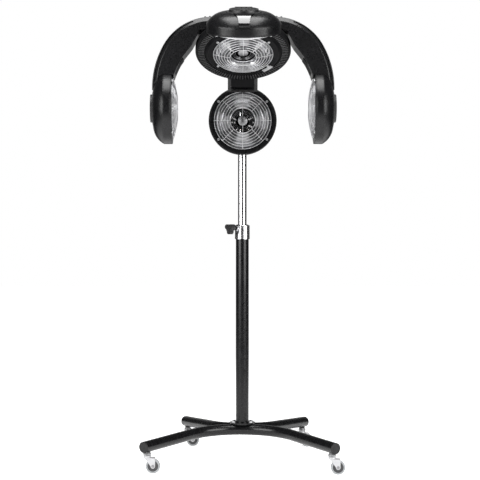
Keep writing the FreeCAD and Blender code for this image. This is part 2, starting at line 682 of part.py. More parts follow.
# ---------------------------------------------------------------- yoke, tilt joint and controls
lug_half = S.lug_width / 2
ear_in = lug_half + S.lug_side_gap
ear_out = ear_in + S.ear_thickness
socket_low = mast_top - S.yoke_socket
cap_top = mast_top + S.seat_gap + S.yoke_cap
yoke_body = turned("yoke_socket", [
    (S.mast_radius + S.running_fit, socket_low), (S.yoke_radius, socket_low), (S.yoke_radius, cap_top),
    (0, cap_top), (0, mast_top + S.seat_gap), (S.mast_radius + S.running_fit, mast_top + S.seat_gap),
])
bridge = box("yoke_bridge", -ear_out, -S.tilt_eye, cap_top - 4, ear_out * 2, S.tilt_eye * 2, 6)
ears = box("yoke_ears", -ear_out, -S.tilt_eye, cap_top - 2, ear_out * 2, S.tilt_eye * 2,
           tilt_axis - cap_top + 2)
ear_rounds = cylinder("ear_rounds", S.tilt_eye, ear_out * 2, at(-ear_out, 0, tilt_axis, Y_AXIS, 90))
gap_between = box("yoke_gap", -ear_in, -S.tilt_eye - 5, cap_top + 2, ear_in * 2, S.tilt_eye * 2 + 10,
                  tilt_axis + S.tilt_eye + 5 - cap_top)
box_top = tilt_axis - S.box_drop
box_low = box_top - S.box_height
mount_low = socket_low + 4
mount_height = mast_top - 6 - mount_low
mount_plate = box("yoke_mount", -S.yoke_radius * 0.7, S.mast_radius + 3, mount_low,
                  S.yoke_radius * 1.4, S.box_stand - S.mast_radius - 3, mount_height)
bolt_bore = cylinder("tilt_bolt_bore", S.tilt_bolt + S.running_fit, ear_out * 2 + 4,
                     at(-ear_out - 2, 0, tilt_axis, Y_AXIS, 90))
yoke_block = fused("yoke_block", yoke_body, bridge, ears, ear_rounds, mount_plate)
node("yoke", cut("yoke_part", yoke_block, fused("yoke_cuts", gap_between, bolt_bore)))

tilt_head = lobed_knob("tilt", ear_out + 6, ear_out + 6 + S.knob_thickness, S.tilt_bolt * 0.8)
tilt_shank = cylinder("tilt_shank", S.tilt_bolt, ear_out * 2 + 8, at(0, 0, -ear_out - 2))
tilt_washer = cylinder("tilt_washer", S.tilt_bolt + 4, 3, at(0, 0, -ear_out - S.seat_gap - 3))
node("tilt_knob", put(fused("tilt_part", tilt_head, tilt_shank, tilt_washer),
                      at(0, 0, tilt_axis, Y_AXIS, 90)))

box_back = S.box_stand + S.box_depth
case_outer = box("case_outer", -S.box_width / 2, S.box_stand, box_low, S.box_width, S.box_depth, S.box_height)
case_inner = box("case_inner", S.wall - S.box_width / 2, S.box_stand + S.wall, box_low + S.wall,
                 S.box_width - S.wall * 2, S.box_depth, S.box_height - S.wall * 2)
inlet_y = S.box_stand + S.box_depth / 2
inlet_hole = box("inlet_hole", -S.inlet_width / 2 - S.seat_gap, inlet_y - S.inlet_depth / 2 - S.seat_gap,
                 box_low - 1, S.inlet_width + S.seat_gap * 2, S.inlet_depth + S.seat_gap * 2, S.wall + 2)
node("control_box", cut("case_part", case_outer, fused("case_cuts", case_inner, inlet_hole)))

panel_y = box_back
dial_z = box_low + S.box_height * 0.58
rocker_pivot_y = panel_y - S.wall
rocker_slot = root(S.rocker_radius * S.rocker_radius - S.wall * S.wall) * 2 + S.seat_gap * 2
panel_plate = box("panel_plate", -S.box_width / 2, panel_y, box_low, S.box_width, S.wall, S.box_height)
shaft_hole = cylinder("shaft_hole", S.axle_radius + S.running_fit, S.wall + 4,
                      at(-S.timer_offset, panel_y + S.wall + 2, dial_z, X_AXIS, 90))
rocker_hole = box("rocker_hole", S.timer_offset - S.rocker_width / 2 - S.seat_gap, panel_y - 2,
                  dial_z - rocker_slot / 2, S.rocker_width + S.seat_gap * 2, S.wall + 4, rocker_slot)
node("control_panel", cut("panel_part", panel_plate, fused("panel_cuts", shaft_hole, rocker_hole)))

timer_face = panel_y + S.wall + S.seat_gap
timer = turned("timer_dial", [
    (0, -S.wall * 3), (S.axle_radius, -S.wall * 3), (S.axle_radius, 0), (S.timer_radius, 0),
    (S.timer_radius * 0.88, S.timer_length - 2), (S.timer_radius * 0.88 - 2, S.timer_length),
    (0, S.timer_length),
])
pointer = box("timer_pointer", -1.5, 0, S.timer_length - 1, 3, S.timer_radius * 0.8, 2.2)
node("timer_knob", put(fused("timer_part", timer, pointer),
                       at(-S.timer_offset, timer_face, dial_z, X_AXIS, -90)))

rocker_drum = cylinder("rocker_drum", S.rocker_radius, S.rocker_width,
                       at(S.timer_offset - S.rocker_width / 2, rocker_pivot_y, dial_z, Y_AXIS, 90))
rocker_flat = box("rocker_flat", S.timer_offset - S.rocker_width, panel_y + S.wall + 4,
                  dial_z - S.rocker_radius * 2, S.rocker_width * 2, S.rocker_radius, S.rocker_radius * 4)
node("rocker_switch", cut("rocker_part", rocker_drum, rocker_flat))

inlet_flange = box("inlet_flange", -S.inlet_width / 2 - 4, inlet_y - S.inlet_depth / 2 - 3, box_low - S.wall,
                   S.inlet_width + 8, S.inlet_depth + 6, S.wall)
inlet_body = box("inlet_body", -S.inlet_width / 2, inlet_y - S.inlet_depth / 2, box_low - 1,
                 S.inlet_width, S.inlet_depth, S.inlet_height)
inlet_mouth = box("inlet_mouth", 2 - S.inlet_width / 2, inlet_y - S.inlet_depth / 2 + 2, box_low - S.wall - 1,
                  S.inlet_width - 4, S.inlet_depth - 4, S.inlet_height - 1)
inlet_pins = [
    box(f"inlet_pin_{number}", place - 1, inlet_y - 2 + lift, box_low + 2, 2, 4, S.inlet_height - 4)
    for number, (place, lift) in enumerate(((-7, 1.5), (0, -2.5), (7, 1.5)), start=1)
]
inlet_shell = cut("inlet_shell", fused("inlet_block", inlet_flange, inlet_body), inlet_mouth)
node("mains_inlet", fused("inlet_part", inlet_shell, *inlet_pins))


# ---------------------------------------------------------------- lamp pieces, face at Z = 0
pod_arc = S.pod_depth - S.pod_bend


def bend_at(radius, bend):
    """Height of a pod's rounding of this bend, at this radius."""
    step = radius - S.pod_back
    return pod_arc + root(bend * bend - step * step)


def pod_envelope(name, gap):
    """A pod's whole outside, grown by a gap: what an arm has to clear."""
    edge = S.pod_radius + gap
    return turned(name, [
        (0, -5), (edge, -5), (edge, bend_at(edge, S.pod_bend + gap)),
        (S.pod_back, S.pod_depth + gap, S.pod_bend + gap, -1), (0, S.pod_depth + gap),
    ])


SCREW_TURNS = (S.screw_turn, 180 - S.screw_turn, S.screw_turn + 180, -S.screw_turn)


def screw_holes(name):
    """Four holes for the guard's screws."""
    return fused(name, *[
        cylinder(f"{name}_{number}", S.screw_radius + S.running_fit, S.wall + 4,
                 at(0, 0, 0, Z_AXIS, turn), at(S.screw_circle, 0, -2))
        for number, turn in enumerate(SCREW_TURNS, start=1)
    ])


def pod_housing():
    """A pod's shell: face ring, side, rounded back and air hole."""
    inner = S.pod_radius - S.wall
    shell = turned("pod_shell", [
        (S.lip_radius, 0), (S.pod_radius, 0), (S.pod_radius, bend_at(S.pod_radius, S.pod_bend)),
        (S.pod_back, S.pod_depth, S.pod_bend, -1), (S.vent_hole, S.pod_depth),
        (S.vent_hole, S.pod_depth - S.wall), (S.pod_back, S.pod_depth - S.wall),
        (inner, bend_at(inner, S.pod_bend - S.wall), S.pod_bend - S.wall, 1),
        (inner, S.wall), (S.lip_radius, S.wall),
    ])
    return cut("pod_housing", shell, screw_holes("housing_holes"))


motor_foot = S.reflector_depth + S.fan_back + S.fan_height + S.motor_gap
VENT_SLOTS = 14
VENT_SLOT_WIDTH = 5.5


def vent_cover():
    """Vent with radial slots on a pod's back, and the fan motor that hangs under it."""
    base = S.pod_depth
    top = S.pod_depth + S.vent_rise
    sheet_low = top - S.wall * 0.8
    wall_foot = S.vent_radius + S.vent_draft
    shell = turned("vent_shell", [
        (S.vent_radius, top), (wall_foot, base + S.vent_foot), (S.pod_back - 1, base + S.vent_foot),
        (S.pod_back - 1, base), (wall_foot - S.wall, base), (S.vent_radius - S.wall, sheet_low),
        (0, sheet_low), (0, top),
    ])
    slots = fused("vent_slots", *[
        put(bind(doc.addObject("Part::Box", f"vent_slot_{number}"), Length=S.vent_radius * 0.4,
                 Width=VENT_SLOT_WIDTH, Height=S.wall * 3),
            at(0, 0, sheet_low - S.wall, Z_AXIS, 360 / VENT_SLOTS * number),
            at(S.vent_radius * 0.5, -VENT_SLOT_WIDTH / 2, 0))
        for number in range(VENT_SLOTS)
    ])
    return cut("vent_part", shell, slots), motor("pod_motor", sheet_low)


def motor(name, top):
    """Fan motor: a can from behind the fan up to what carries it, bored for the shaft."""
    can = cylinder(f"{name}_can", S.motor_radius, top - motor_foot, at(0, 0, motor_foot))
    bore = cylinder(f"{name}_bore", S.fan_shaft + S.running_fit, 6, at(0, 0, motor_foot - 1))
    return cut(f"{name}_body", can, bore)


mouth = S.lip_radius - S.reflector_seam
bowl_width = mouth - S.reflector_hole
bowl = (bowl_width * bowl_width + S.reflector_depth * S.reflector_depth) / (S.reflector_depth * 2)
bowl_centre = S.reflector_depth - bowl


def bowl_at(radius, inset):
    """Height of the bowl at this radius, that far inside its outer surface."""
    step = radius - S.reflector_hole
    reach = bowl - inset
    return bowl_centre + root(reach * reach - step * step)


def reflector():
    """Bowl with a sleeve round the air duct, a flange and four tabs on the face ring."""
    sheet_metal = S.reflector_sheet
    inner_reach = bowl - sheet_metal
    inner_mouth = S.reflector_hole + root(inner_reach * inner_reach - bowl_centre * bowl_centre)
    sleeve = S.reflector_hole + sheet_metal
    flange = S.lip_radius + S.flange_lap
    shell = turned("reflector_bowl", [
        (S.reflector_hole, S.duct_front), (sleeve, S.duct_front), (sleeve, bowl_at(sleeve, sheet_metal)),
        (inner_mouth, 0, inner_reach, 1), (inner_mouth, -sheet_metal), (flange, -sheet_metal), (flange, 0),
        (mouth, 0), (S.reflector_hole, S.reflector_depth, bowl, -1),
    ])
    tabs = [
        put(bind(doc.addObject("Part::Box", f"tab_{number}"),
                 Length=S.screw_circle + S.tab_width / 2 - S.lip_radius, Width=S.tab_width, Height=sheet_metal),
            at(0, 0, 0, Z_AXIS, turn), at(S.lip_radius, -S.tab_width / 2, -sheet_metal))
        for number, turn in enumerate(SCREW_TURNS, start=1)
    ]
    return cut("reflector", fused("reflector_tabs", shell, *tabs), screw_holes("tab_holes"))


def heater():
    """Quartz ring with two feet down to the bowl."""
    ring = doc.addObject("Part::Torus", "heater_ring")
    bind(ring, Radius1=S.heater_ring, Radius2=S.heater_tube)
    put(ring, at(0, 0, S.heater_depth))
    foot_top = bowl_at(S.heater_ring + S.heater_foot, S.reflector_sheet) - S.seat_gap
    feet = [
        cylinder(f"heater_foot_{number}", S.heater_foot, foot_top - S.heater_depth,
                 at(0, 0, 0, Z_AXIS, turn), at(S.heater_ring, 0, S.heater_depth))
        for number, turn in enumerate((82, 98), start=1)
    ]
    return fused("heater", ring, *feet)


GUARD_RINGS = 7
GUARD_SPOKES = 8
guard_zero = S.reflector_sheet + S.guard_wire * 2.2 + S.seat_gap
bulge = S.guard_bulge - guard_zero
sphere = (S.guard_edge * S.guard_edge + bulge * bulge) / (bulge * 2)


def guard():
    """Domed wire guard: rings and spokes on a sphere, and the four screws that hold it."""
    centre_z = sphere - bulge - guard_zero
    wires = []
    for number in range(GUARD_RINGS):
        radius = S.guard_edge - S.guard_pitch * number
        ring = doc.addObject("Part::Torus", f"guard_ring_{number}")
        bind(ring, Radius1=radius, Radius2=S.guard_wire)
        # the rings' own seams are turned away from the spokes
        wires.append(put(ring, at(0, 0, centre_z - root(sphere * sphere - radius * radius), Z_AXIS, 20)))
    # the spokes are welded on behind the rings, from the smallest ring out to the edge,
    # and the two upright ones go on to the middle
    smallest_ring = S.guard_edge - S.guard_pitch * (GUARD_RINGS - 1)
    closing = arc_sine(S.guard_edge / sphere)
    for number in range(GUARD_SPOKES):
        turn = 360 / GUARD_SPOKES * number
        inner_end = S.guard_long_spoke if turn in (90, 270) else smallest_ring
        opening = arc_sine(inner_end / sphere)
        spoke = doc.addObject("Part::Torus", f"guard_spoke_{number}")
        bind(spoke, Radius1=sphere - S.guard_wire * 1.2, Radius2=S.guard_wire, Angle3=closing - opening)
        wires.append(put(spoke, at(0, 0, centre_z, Z_AXIS, turn), at(0, 0, 0, X_AXIS, 90),
                         at(0, 0, 0, Z_AXIS, -90), at(0, 0, 0, Z_AXIS, opening)))
    screws = []
    for number, turn in enumerate(SCREW_TURNS, start=1):
        shank = cylinder(f"screw_shank_{number}", S.screw_radius, S.wall + S.reflector_sheet + 2,
                         at(0, 0, 0, Z_AXIS, turn), at(S.screw_circle, 0, -S.reflector_sheet))
        head = cylinder(f"screw_head_{number}", S.screw_head, 2.4,
                        at(0, 0, 0, Z_AXIS, turn), at(S.screw_circle, 0, -S.reflector_sheet - 2.4))
        screws.append(fused(f"screw_{number}", shank, head))
    return fused("guard", *wires), screws


GRILLE_BARS = 6


def duct():
    """Air duct round the fan, from the vent to a grille at the lamp's face."""
    top = S.pod_depth + S.vent_rise - S.wall * 0.8
    inner = S.duct_radius - S.duct_wall
    flange_low = S.reflector_depth + S.seat_gap
    flange_high = flange_low + S.duct_wall
    flange = S.duct_radius + S.duct_wall * 2
    tube = turned("duct_tube", [
        (S.duct_radius, S.duct_front), (S.duct_radius, flange_low),
        (flange, flange_low), (flange, flange_high), (S.duct_radius, flange_high),
        (S.duct_radius, top), (inner, top), (inner, S.duct_front),
    ])
    grille_low = S.duct_front + S.duct_bar
    boss = cylinder("duct_boss", S.duct_boss, S.duct_bar * 2, at(0, 0, grille_low + S.duct_bar))
    rings = [
        turned(f"duct_ring_{number}", [
            (S.duct_boss + S.duct_ring * number, grille_low),
            (S.duct_boss + S.duct_ring * number + S.duct_bar, grille_low),
            (S.duct_boss + S.duct_ring * number + S.duct_bar, grille_low + S.duct_bar * 1.5),
            (S.duct_boss + S.duct_ring * number, grille_low + S.duct_bar * 1.5),
        ])
        for number in (1, 2)
    ]
    bar_start = S.duct_boss * 0.8
    bar_length = inner + S.duct_wall / 2 - bar_start
    bars = [
        put(bind(doc.addObject("Part::Box", f"duct_bar_{number}"), Length=bar_length, Width=S.duct_bar,
                 Height=S.duct_bar),
            at(0, 0, grille_low + S.duct_bar, Z_AXIS, 360 / GRILLE_BARS * number),
            at(bar_start, -S.duct_bar / 2, 0))
        for number in range(GRILLE_BARS)
    ]
    return fused("duct", tube, boss, *rings, *bars)


FAN_BLADES = 5


def fan():
    """Five pitched blades on a hub, with the shaft into the motor."""
    low = S.reflector_depth + S.fan_back
    middle = cylinder("fan_middle", S.fan_hub, S.fan_height, at(0, 0, low))
    shaft = cylinder("fan_spindle", S.fan_shaft, S.motor_gap + 4, at(0, 0, low + S.fan_height))
    pitch = 28
    chord = S.fan_height * 1.6
    blades = [
        put(bind(doc.addObject("Part::Box", f"fan_blade_{number}"), Length=S.fan_radius - S.fan_hub * 0.7,
                 Width=chord, Height=1.4),
            at(0, 0, low + S.fan_height / 2, Z_AXIS, 360 / FAN_BLADES * number),
            at(S.fan_hub * 0.7, 0, 0, X_AXIS, pitch), at(0, -chord / 2, -0.7))
        for number in range(FAN_BLADES)
    ]
    return fused("fan", middle, shaft, *blades)


HOUSING = pod_housing()
VENT, POD_MOTOR = vent_cover()
REFLECTOR = reflector()
HEATER = heater()
GUARD, SCREWS = guard()
FAN = fan()
DUCT = duct()

# ---------------------------------------------------------------- where each lamp is
HEAD_Y = -S.head_reach
POD_PLACES = {
    "left": at(-S.side_reach, HEAD_Y, side_height, Y_AXIS, -90),
    "right": at(S.side_reach, HEAD_Y, side_height, Y_AXIS, 90),
    "rear": at(0, HEAD_Y + S.rear_reach, rear_height, X_AXIS, -90),
    "front": at(0, HEAD_Y - S.front_reach, hub_height + S.front_rise, X_AXIS, S.front_tilt),
}
HUB_PLACE = at(0, HEAD_Y, hub_height, X_AXIS, -S.hub_tilt)
LAMP_PLACES = dict(POD_PLACES, hub=HUB_PLACE)
for where, place in POD_PLACES.items():
    node(f"{where}_pod_housing", put(group(f"{where}_housing_copy", HOUSING), place))
    node(f"{where}_vent_cover", put(group(f"{where}_vent_copy", VENT, POD_MOTOR, DUCT), place))
for where, place in LAMP_PLACES.items():
    node(f"{where}_fan", put(group(f"{where}_fan_copy", FAN), place))
for where in ("left", "right", "front"):
    place = POD_PLACES[where]
    node(f"{where}_reflector", put(group(f"{where}_reflector_copy", REFLECTOR), place))
    node(f"{where}_guard", put(group(f"{where}_guard_copy", GUARD, *SCREWS), place))
    node(f"{where}_heater", put(group(f"{where}_heater_copy", HEATER), place))
for kind, pieces in (("reflectors", [REFLECTOR]), ("guards", [GUARD, *SCREWS]), ("heaters", [HEATER])):
    pair = [
        put(group(f"{where}_{kind}_copy", *pieces), LAMP_PLACES[where])
        for where in ("hub", "rear")
    ]
    node(f"head_{kind}", group(f"head_{kind}_pair", *pair))

# ---------------------------------------------------------------- hub
hub_skin = S.wall + 0.5
hub_under = turned("hub_pan", [
    (S.lip_radius, 0), (S.pod_radius, 0), (S.hub_shoulder, S.hub_step), (S.hub_radius - 4, S.hub_step),
    (S.hub_radius, S.hub_step + 4, 4, -1), (S.hub_radius, S.hub_rim), (S.hub_radius - hub_skin, S.hub_rim),
    (S.hub_radius - hub_skin, S.hub_step + hub_skin), (S.hub_shoulder - 2, S.hub_step + hub_skin),
    (S.pod_radius - 2, S.wall), (S.lip_radius, S.wall),
])
put(hub_under, HUB_PLACE)
holes = put(group("hub_hole_set", screw_holes("hub_holes")), HUB_PLACE)
nose_y = HEAD_Y - S.hub_nose
far = 400
nose_cut = box("hub_nose_cut", -far, nose_y - far, hub_height - far, far * 2, far, far * 2)
hub_filled = put(turned("hub_filled", [
    (S.hub_shoulder, S.hub_step), (S.hub_radius - 4, S.hub_step), (S.hub_radius, S.hub_step + 4, 4, -1),
    (S.hub_radius, S.hub_rim), (S.hub_shoulder - 2, S.hub_rim),
]), HUB_PLACE)
nose_slice = box("hub_nose_slice", -far, nose_y, hub_height - far, far * 2, hub_skin, far * 2)
pan_cut = cut("hub_pan_cut", cut("hub_pan_bored", hub_under, holes), nose_cut)
hub_pan_walled = fused("hub_pan_walled", pan_cut, common("hub_nose_wall", hub_filled, nose_slice))
node("hub_underside", group("hub_pan_and_duct", hub_pan_walled, put(group("hub_duct", DUCT), HUB_PLACE)))

# knuckle centres of the side arms follow from the arms' two bends
arm_out = S.side_reach + S.pod_depth + S.arm_lap
bends_x = S.arm_sweep * (1 - cosine(S.arm_turn)) + S.arm_shoulder * cosine(S.arm_turn)
arm_end = S.pod_back + S.arm_clear + S.arm_toe
bends_z = arm_end + (S.arm_sweep - S.arm_shoulder) * sine(S.arm_turn) + S.arm_shoulder
knuckle_x = arm_out - bends_x
knuckle_z = side_height + bends_z - S.knuckle
slot_half = S.arm_width / 2 + 1
slot_x = knuckle_x - S.knuckle - 1
slot_low = knuckle_z - S.knuckle - 2
tall = 200


def arm_slots(name, grow):
    """The two bays of the hub where the arms' knuckles turn, grown by a wall."""
    return fused(name, *[
        box(f"{name}_{side}", x, HEAD_Y - slot_half - grow, slot_low - grow,
            tall, slot_half * 2 + grow * 2, tall)
        for side, x in (("left", -slot_x - tall + grow), ("right", slot_x - grow))
    ])


def crown_solid(name, grow):
    """The crown and brim as one filled turning; grow makes it the envelope for the arms."""
    top = S.crown_height + grow
    return put(turned(name, [
        (0, S.hub_rim), (S.hub_radius + grow, S.hub_rim), (S.hub_radius + grow, S.hub_rim + S.arm_wall + grow),
        (S.crown_radius + grow, S.hub_rim + S.arm_wall + grow),
        (S.crown_radius + grow, top - S.crown_bend - grow),
        (S.crown_radius - S.crown_bend, top, S.crown_bend + grow, -1), (0, top),
    ]), HUB_PLACE)


crown_wall = S.arm_wall
crown_inner = put(turned("crown_hollow", [
    (0, S.hub_rim - 1), (S.crown_radius - crown_wall, S.hub_rim - 1),
    (S.crown_radius - crown_wall, S.crown_height - S.crown_bend),
    (S.crown_radius - S.crown_bend, S.crown_height - crown_wall, S.crown_bend - crown_wall, -1),
    (0, S.crown_height - crown_wall),
]), HUB_PLACE)
crown_outside = cut("crown_outside", crown_solid("crown", 0),
                    fused("crown_bays", arm_slots("bays", 0), nose_cut))
crown_shell = cut("crown_shell", crown_outside,
                  cut("crown_hollow_cut", crown_inner, arm_slots("bay_walls", crown_wall)))
tongue_half = S.tongue_width / 2
tongues = []
for side in (-1, 1):
    hand = "left" if side < 0 else "right"
    reach = knuckle_x - slot_x + 2
    start = slot_x - 2 if side > 0 else -knuckle_x
    tongues.append(box(f"{hand}_tongue", start, HEAD_Y - tongue_half, knuckle_z - S.tongue_eye * 0.9,
                       reach, S.tongue_width, S.tongue_eye * 1.8))
    tongues.append(cylinder(f"{hand}_eye", S.tongue_eye, S.tongue_width,
                            at(knuckle_x * side, HEAD_Y + tongue_half, knuckle_z, X_AXIS, 90)))
flip_y = HEAD_Y - S.flip_reach
flip_z = hub_height + S.flip_rise
flip_half = S.flip_tongue / 2
nose_tongue = box("flip_tongue", -flip_half, flip_y, flip_z - S.flip_eye * 0.8, S.flip_tongue,
                  S.flip_reach - S.crown_radius + S.crown_bend * 0.8, S.flip_eye * 1.2)
nose_eye = cylinder("flip_eye_round", S.flip_eye - 1, S.flip_tongue,
                    at(-flip_half, flip_y, flip_z, Y_AXIS, 90))
motor_post = put(cylinder("hub_motor_can", S.motor_radius, S.crown_height - crown_wall / 2 - motor_foot,
                          at(0, 0, motor_foot)), HUB_PLACE, at(0, 0, motor_foot))
motor_bore = put(cylinder("hub_motor_bore", S.fan_shaft + S.running_fit, 6),
                 HUB_PLACE, at(0, 0, motor_foot - 1))
pin_length = S.arm_width - 10
pin_bores = [
    cylinder("left_pin_bore", S.hinge_pin + S.running_fit, pin_length + 1,
             at(-knuckle_x, HEAD_Y + pin_length / 2 + 0.5, knuckle_z, X_AXIS, 90)),
    cylinder("right_pin_bore", S.hinge_pin + S.running_fit, pin_length + 1,
             at(knuckle_x, HEAD_Y + pin_length / 2 + 0.5, knuckle_z, X_AXIS, 90)),
]
flip_bore = cylinder("flip_bore", S.flip_pin + S.running_fit, S.link_width - 4,
                     at(2 - S.link_width / 2, flip_y, flip_z, Y_AXIS, 90))
crown_block = fused("crown_block", crown_shell, *tongues, nose_tongue, nose_eye, motor_post)
node("hub_cover", cut("crown_part", crown_block, fused("crown_bores", motor_bore, flip_bore, *pin_bores)))

pins = [
    cylinder(f"{hand}_pin", S.hinge_pin, pin_length,
             at(knuckle_x * side, HEAD_Y + pin_length / 2, knuckle_z, X_AXIS, 90))
    for side, hand in ((-1, "left"), (1, "right"))
]
flip_rod = cylinder("flip_rod", S.flip_pin, S.link_width - 6,
                    at(3 - S.link_width / 2, flip_y, flip_z, Y_AXIS, 90))
node("hinge_pins", group("pin_set", *pins, flip_rod))


# ---------------------------------------------------------------- arms
def arm_points(reach, drop):
    """Named points of an arm's outline in its own plane: X away from the head, Z up."""
    out = reach + S.pod_depth + S.arm_lap
    low = hub_height - drop + arm_end
    meet_x = out - S.arm_sweep * (1 - cosine(S.arm_turn))
    meet_z = low + S.arm_sweep * sine(S.arm_turn)
    centre_x = meet_x - S.arm_shoulder * cosine(S.arm_turn)
    centre_z = meet_z - S.arm_shoulder * sine(S.arm_turn)
    return out, low, meet_x, meet_z, centre_x, centre_z


def ray(point, length):
    """The point at that distance from a bend's centre, where the two bends meet."""
    return point[0] + length * cosine(S.arm_turn), point[1] + length * sine(S.arm_turn)


def arm_outline(reach, drop, root_corners):
    """Outside of an arm: two bends, the toe over the pod, the inner face and the root."""
    out, low, meet_x, meet_z, centre_x, centre_z = arm_points(reach, drop)
    inside = reach + S.arm_inset
    inner_x, inner_z = ray((centre_x, centre_z), S.arm_shoulder - S.arm_depth)
    return [
        (meet_x, meet_z, S.arm_shoulder, 1), (out, low, S.arm_sweep, 1), (out, low - S.arm_toe),
        (inside, low - S.arm_toe), (inside, low + S.arm_rise), (inner_x, inner_z, S.arm_hollow_bend, -1),
        *root_corners,
    ]


def arm_hollow(reach, drop, root_x, root_z):
    """The cavity of an arm, one wall inside its outline."""
    wall = S.arm_wall
    out, low, meet_x, meet_z, centre_x, centre_z = arm_points(reach, drop)
    inside = reach + S.arm_inset + wall
    inner_x, inner_z = ray((centre_x, centre_z), S.arm_shoulder - S.arm_depth + wall)
    outer_x, outer_z = ray((centre_x, centre_z), S.arm_shoulder - wall)
    start_turn = 70
    start_x = centre_x + (S.arm_shoulder - wall) * cosine(start_turn)
    start_z = centre_z + (S.arm_shoulder - wall) * sine(start_turn)
    return [
        (outer_x, outer_z, S.arm_shoulder - wall, 1), (out - wall, low, S.arm_sweep - wall, 1),
        (out - wall, low - S.arm_toe + wall), (inside, low - S.arm_toe + wall), (inside, low + S.arm_rise),
        (inner_x, inner_z, S.arm_hollow_bend + wall, -1), (root_x + wall, root_z + wall), (start_x, start_z),
    ]


def strip(reach, drop, near, deep):
    """A band along an arm's inner face, between two depths behind it."""
    _, low, _, _, centre_x, centre_z = arm_points(reach, drop)
    inside = reach + S.arm_inset
    foot = low + S.arm_rise + S.arm_wall
    lift = 8
    inner = (centre_x, centre_z)
    short = S.arm_shoulder - S.arm_depth
    near_x, near_z = ray(inner, short + near)
    deep_x, deep_z = ray(inner, short + deep)
    return [
        (inside + near, foot + lift), (near_x, near_z - lift, S.arm_hollow_bend + near, -1),
        (deep_x, deep_z - lift), (inside + deep, foot + lift, S.arm_hollow_bend + deep, 1),
    ]


def bevel(body, out_edges):
    """Bevel the outer edges of an arm on both sides; out_edges tells which edges they are."""
    doc.recompute()
    pad = body.Tip
    names = [
        f"Edge{number}" for number, edge in enumerate(pad.Shape.Edges, start=1)
        if out_edges(edge.valueAt((edge.FirstParameter + edge.LastParameter) / 2), edge)
    ]
    feature = body.newObject("PartDesign::Chamfer", f"{body.Name}_bevel")
    feature.Base = (pad, names)
    bind(feature, Size=S.arm_bevel)
    return body


def arm_shell(name, reach, drop, root_corners, root_x, root_z):
    """An arm moulding, hollow, open on its inner face for the cover."""
    body = padded(f"{name}_full", "XZ_Plane", arm_outline(reach, drop, root_corners), S.arm_width)
    out, low, meet_x, meet_z, centre_x, centre_z = arm_points(reach, drop)

    def outer(point, edge):
        on_side = abs(abs(point.y) - S.arm_width.value / 2) < 0.01 and edge.Length > 60
        from_centre = math.hypot(point.x - centre_x.value, point.z - centre_z.value)
        return on_side and from_centre > S.arm_shoulder.value * 0.9 and point.z > low.value

    bevel(body, outer)
    hollow = padded(f"{name}_hollow", "XZ_Plane", arm_hollow(reach, drop, root_x, root_z),
                    S.arm_width - S.arm_bevel * 1.2)
    window = padded(f"{name}_window", "XZ_Plane", strip(reach, drop, Size.of(-1), S.arm_wall + 1),
                    S.arm_width - S.cover_margin * 2)
    return cut(f"{name}_moulding", body, fused(f"{name}_inside", hollow, window))


def arm_cover(name, reach, drop):
    """The plate that closes an arm's inner face, just behind it."""
    return padded(f"{name}_plate", "XZ_Plane",
                  strip(reach, drop, S.cover_recess, S.cover_recess + S.cover_sheet),
                  S.arm_width - S.cover_margin * 2 - S.seat_gap * 2)


side_points = arm_points(S.side_reach, S.side_drop)
side_inner = ray(side_points[4:], S.arm_shoulder - S.arm_depth)
step_x = S.hub_radius + 12
step_z = side_inner[1] + (side_inner[0] - step_x) * 1.25
knuckle_low = knuckle_z - S.knuckle
side_root = [
    (step_x, step_z), (S.hub_radius - 11, knuckle_low), (knuckle_x, knuckle_low),
    (knuckle_x - S.knuckle, knuckle_z, S.knuckle, 1), (knuckle_x, knuckle_z + S.knuckle, S.knuckle, 1),
]
HEAD_PLACE = at(0, HEAD_Y, 0)
side_full = arm_shell("side_arm", S.side_reach, S.side_drop, side_root, step_x, step_z)
cheek_gap = tongue_half + S.tongue_gap
cheek_slot = box("cheek_slot", 0, -cheek_gap, knuckle_low - 5, knuckle_x + S.tongue_eye + 3, cheek_gap * 2,
                 S.knuckle * 2 + 20)
cheek_bore = cylinder("cheek_bore", S.hinge_pin + S.running_fit, pin_length + 1,
                      at(knuckle_x, pin_length / 2 + 0.5, knuckle_z, X_AXIS, 90))
side_pod = put(pod_envelope("side_pod_space", S.seat_gap), at(S.side_reach, 0, side_height, Y_AXIS, 90))
side_cuts = fused("side_arm_cuts", cheek_slot, cheek_bore, side_pod)
ridge_length = S.arm_width - S.arm_bevel * 2
ridges = []
for across, bend in ((-11, S.knuckle), (5, S.arm_shoulder), (21, S.arm_shoulder)):
    height = knuckle_z + S.knuckle - bend + root(bend * bend - across * across) + S.ridge_rise - S.ridge
    ridges.append(cylinder(f"ridge_{len(ridges) + 1}", S.ridge, ridge_length,
                           at(knuckle_x + across, ridge_length / 2, height, X_AXIS, 90)))
side_arm = cut("side_arm_part", fused("side_arm_ridged", side_full, *ridges), side_cuts)
side_cover = cut("side_cover_part", arm_cover("side_cover", S.side_reach, S.side_drop), side_pod)


def mirrored(name, source):
    twin = doc.addObject("Part::Mirroring", name)
    twin.Source = source
    twin.Normal = V(1, 0, 0)
    return twin


node("right_arm_shell", put(group("right_arm_copy", side_arm), HEAD_PLACE))
node("right_arm_cover", put(group("right_cover_copy", side_cover), HEAD_PLACE))
node("left_arm_shell", put(group("left_arm_copy", mirrored("left_arm_mirror", side_arm)), HEAD_PLACE))
node("left_arm_cover", put(group("left_cover_copy", mirrored("left_cover_mirror", side_cover)), HEAD_PLACE))

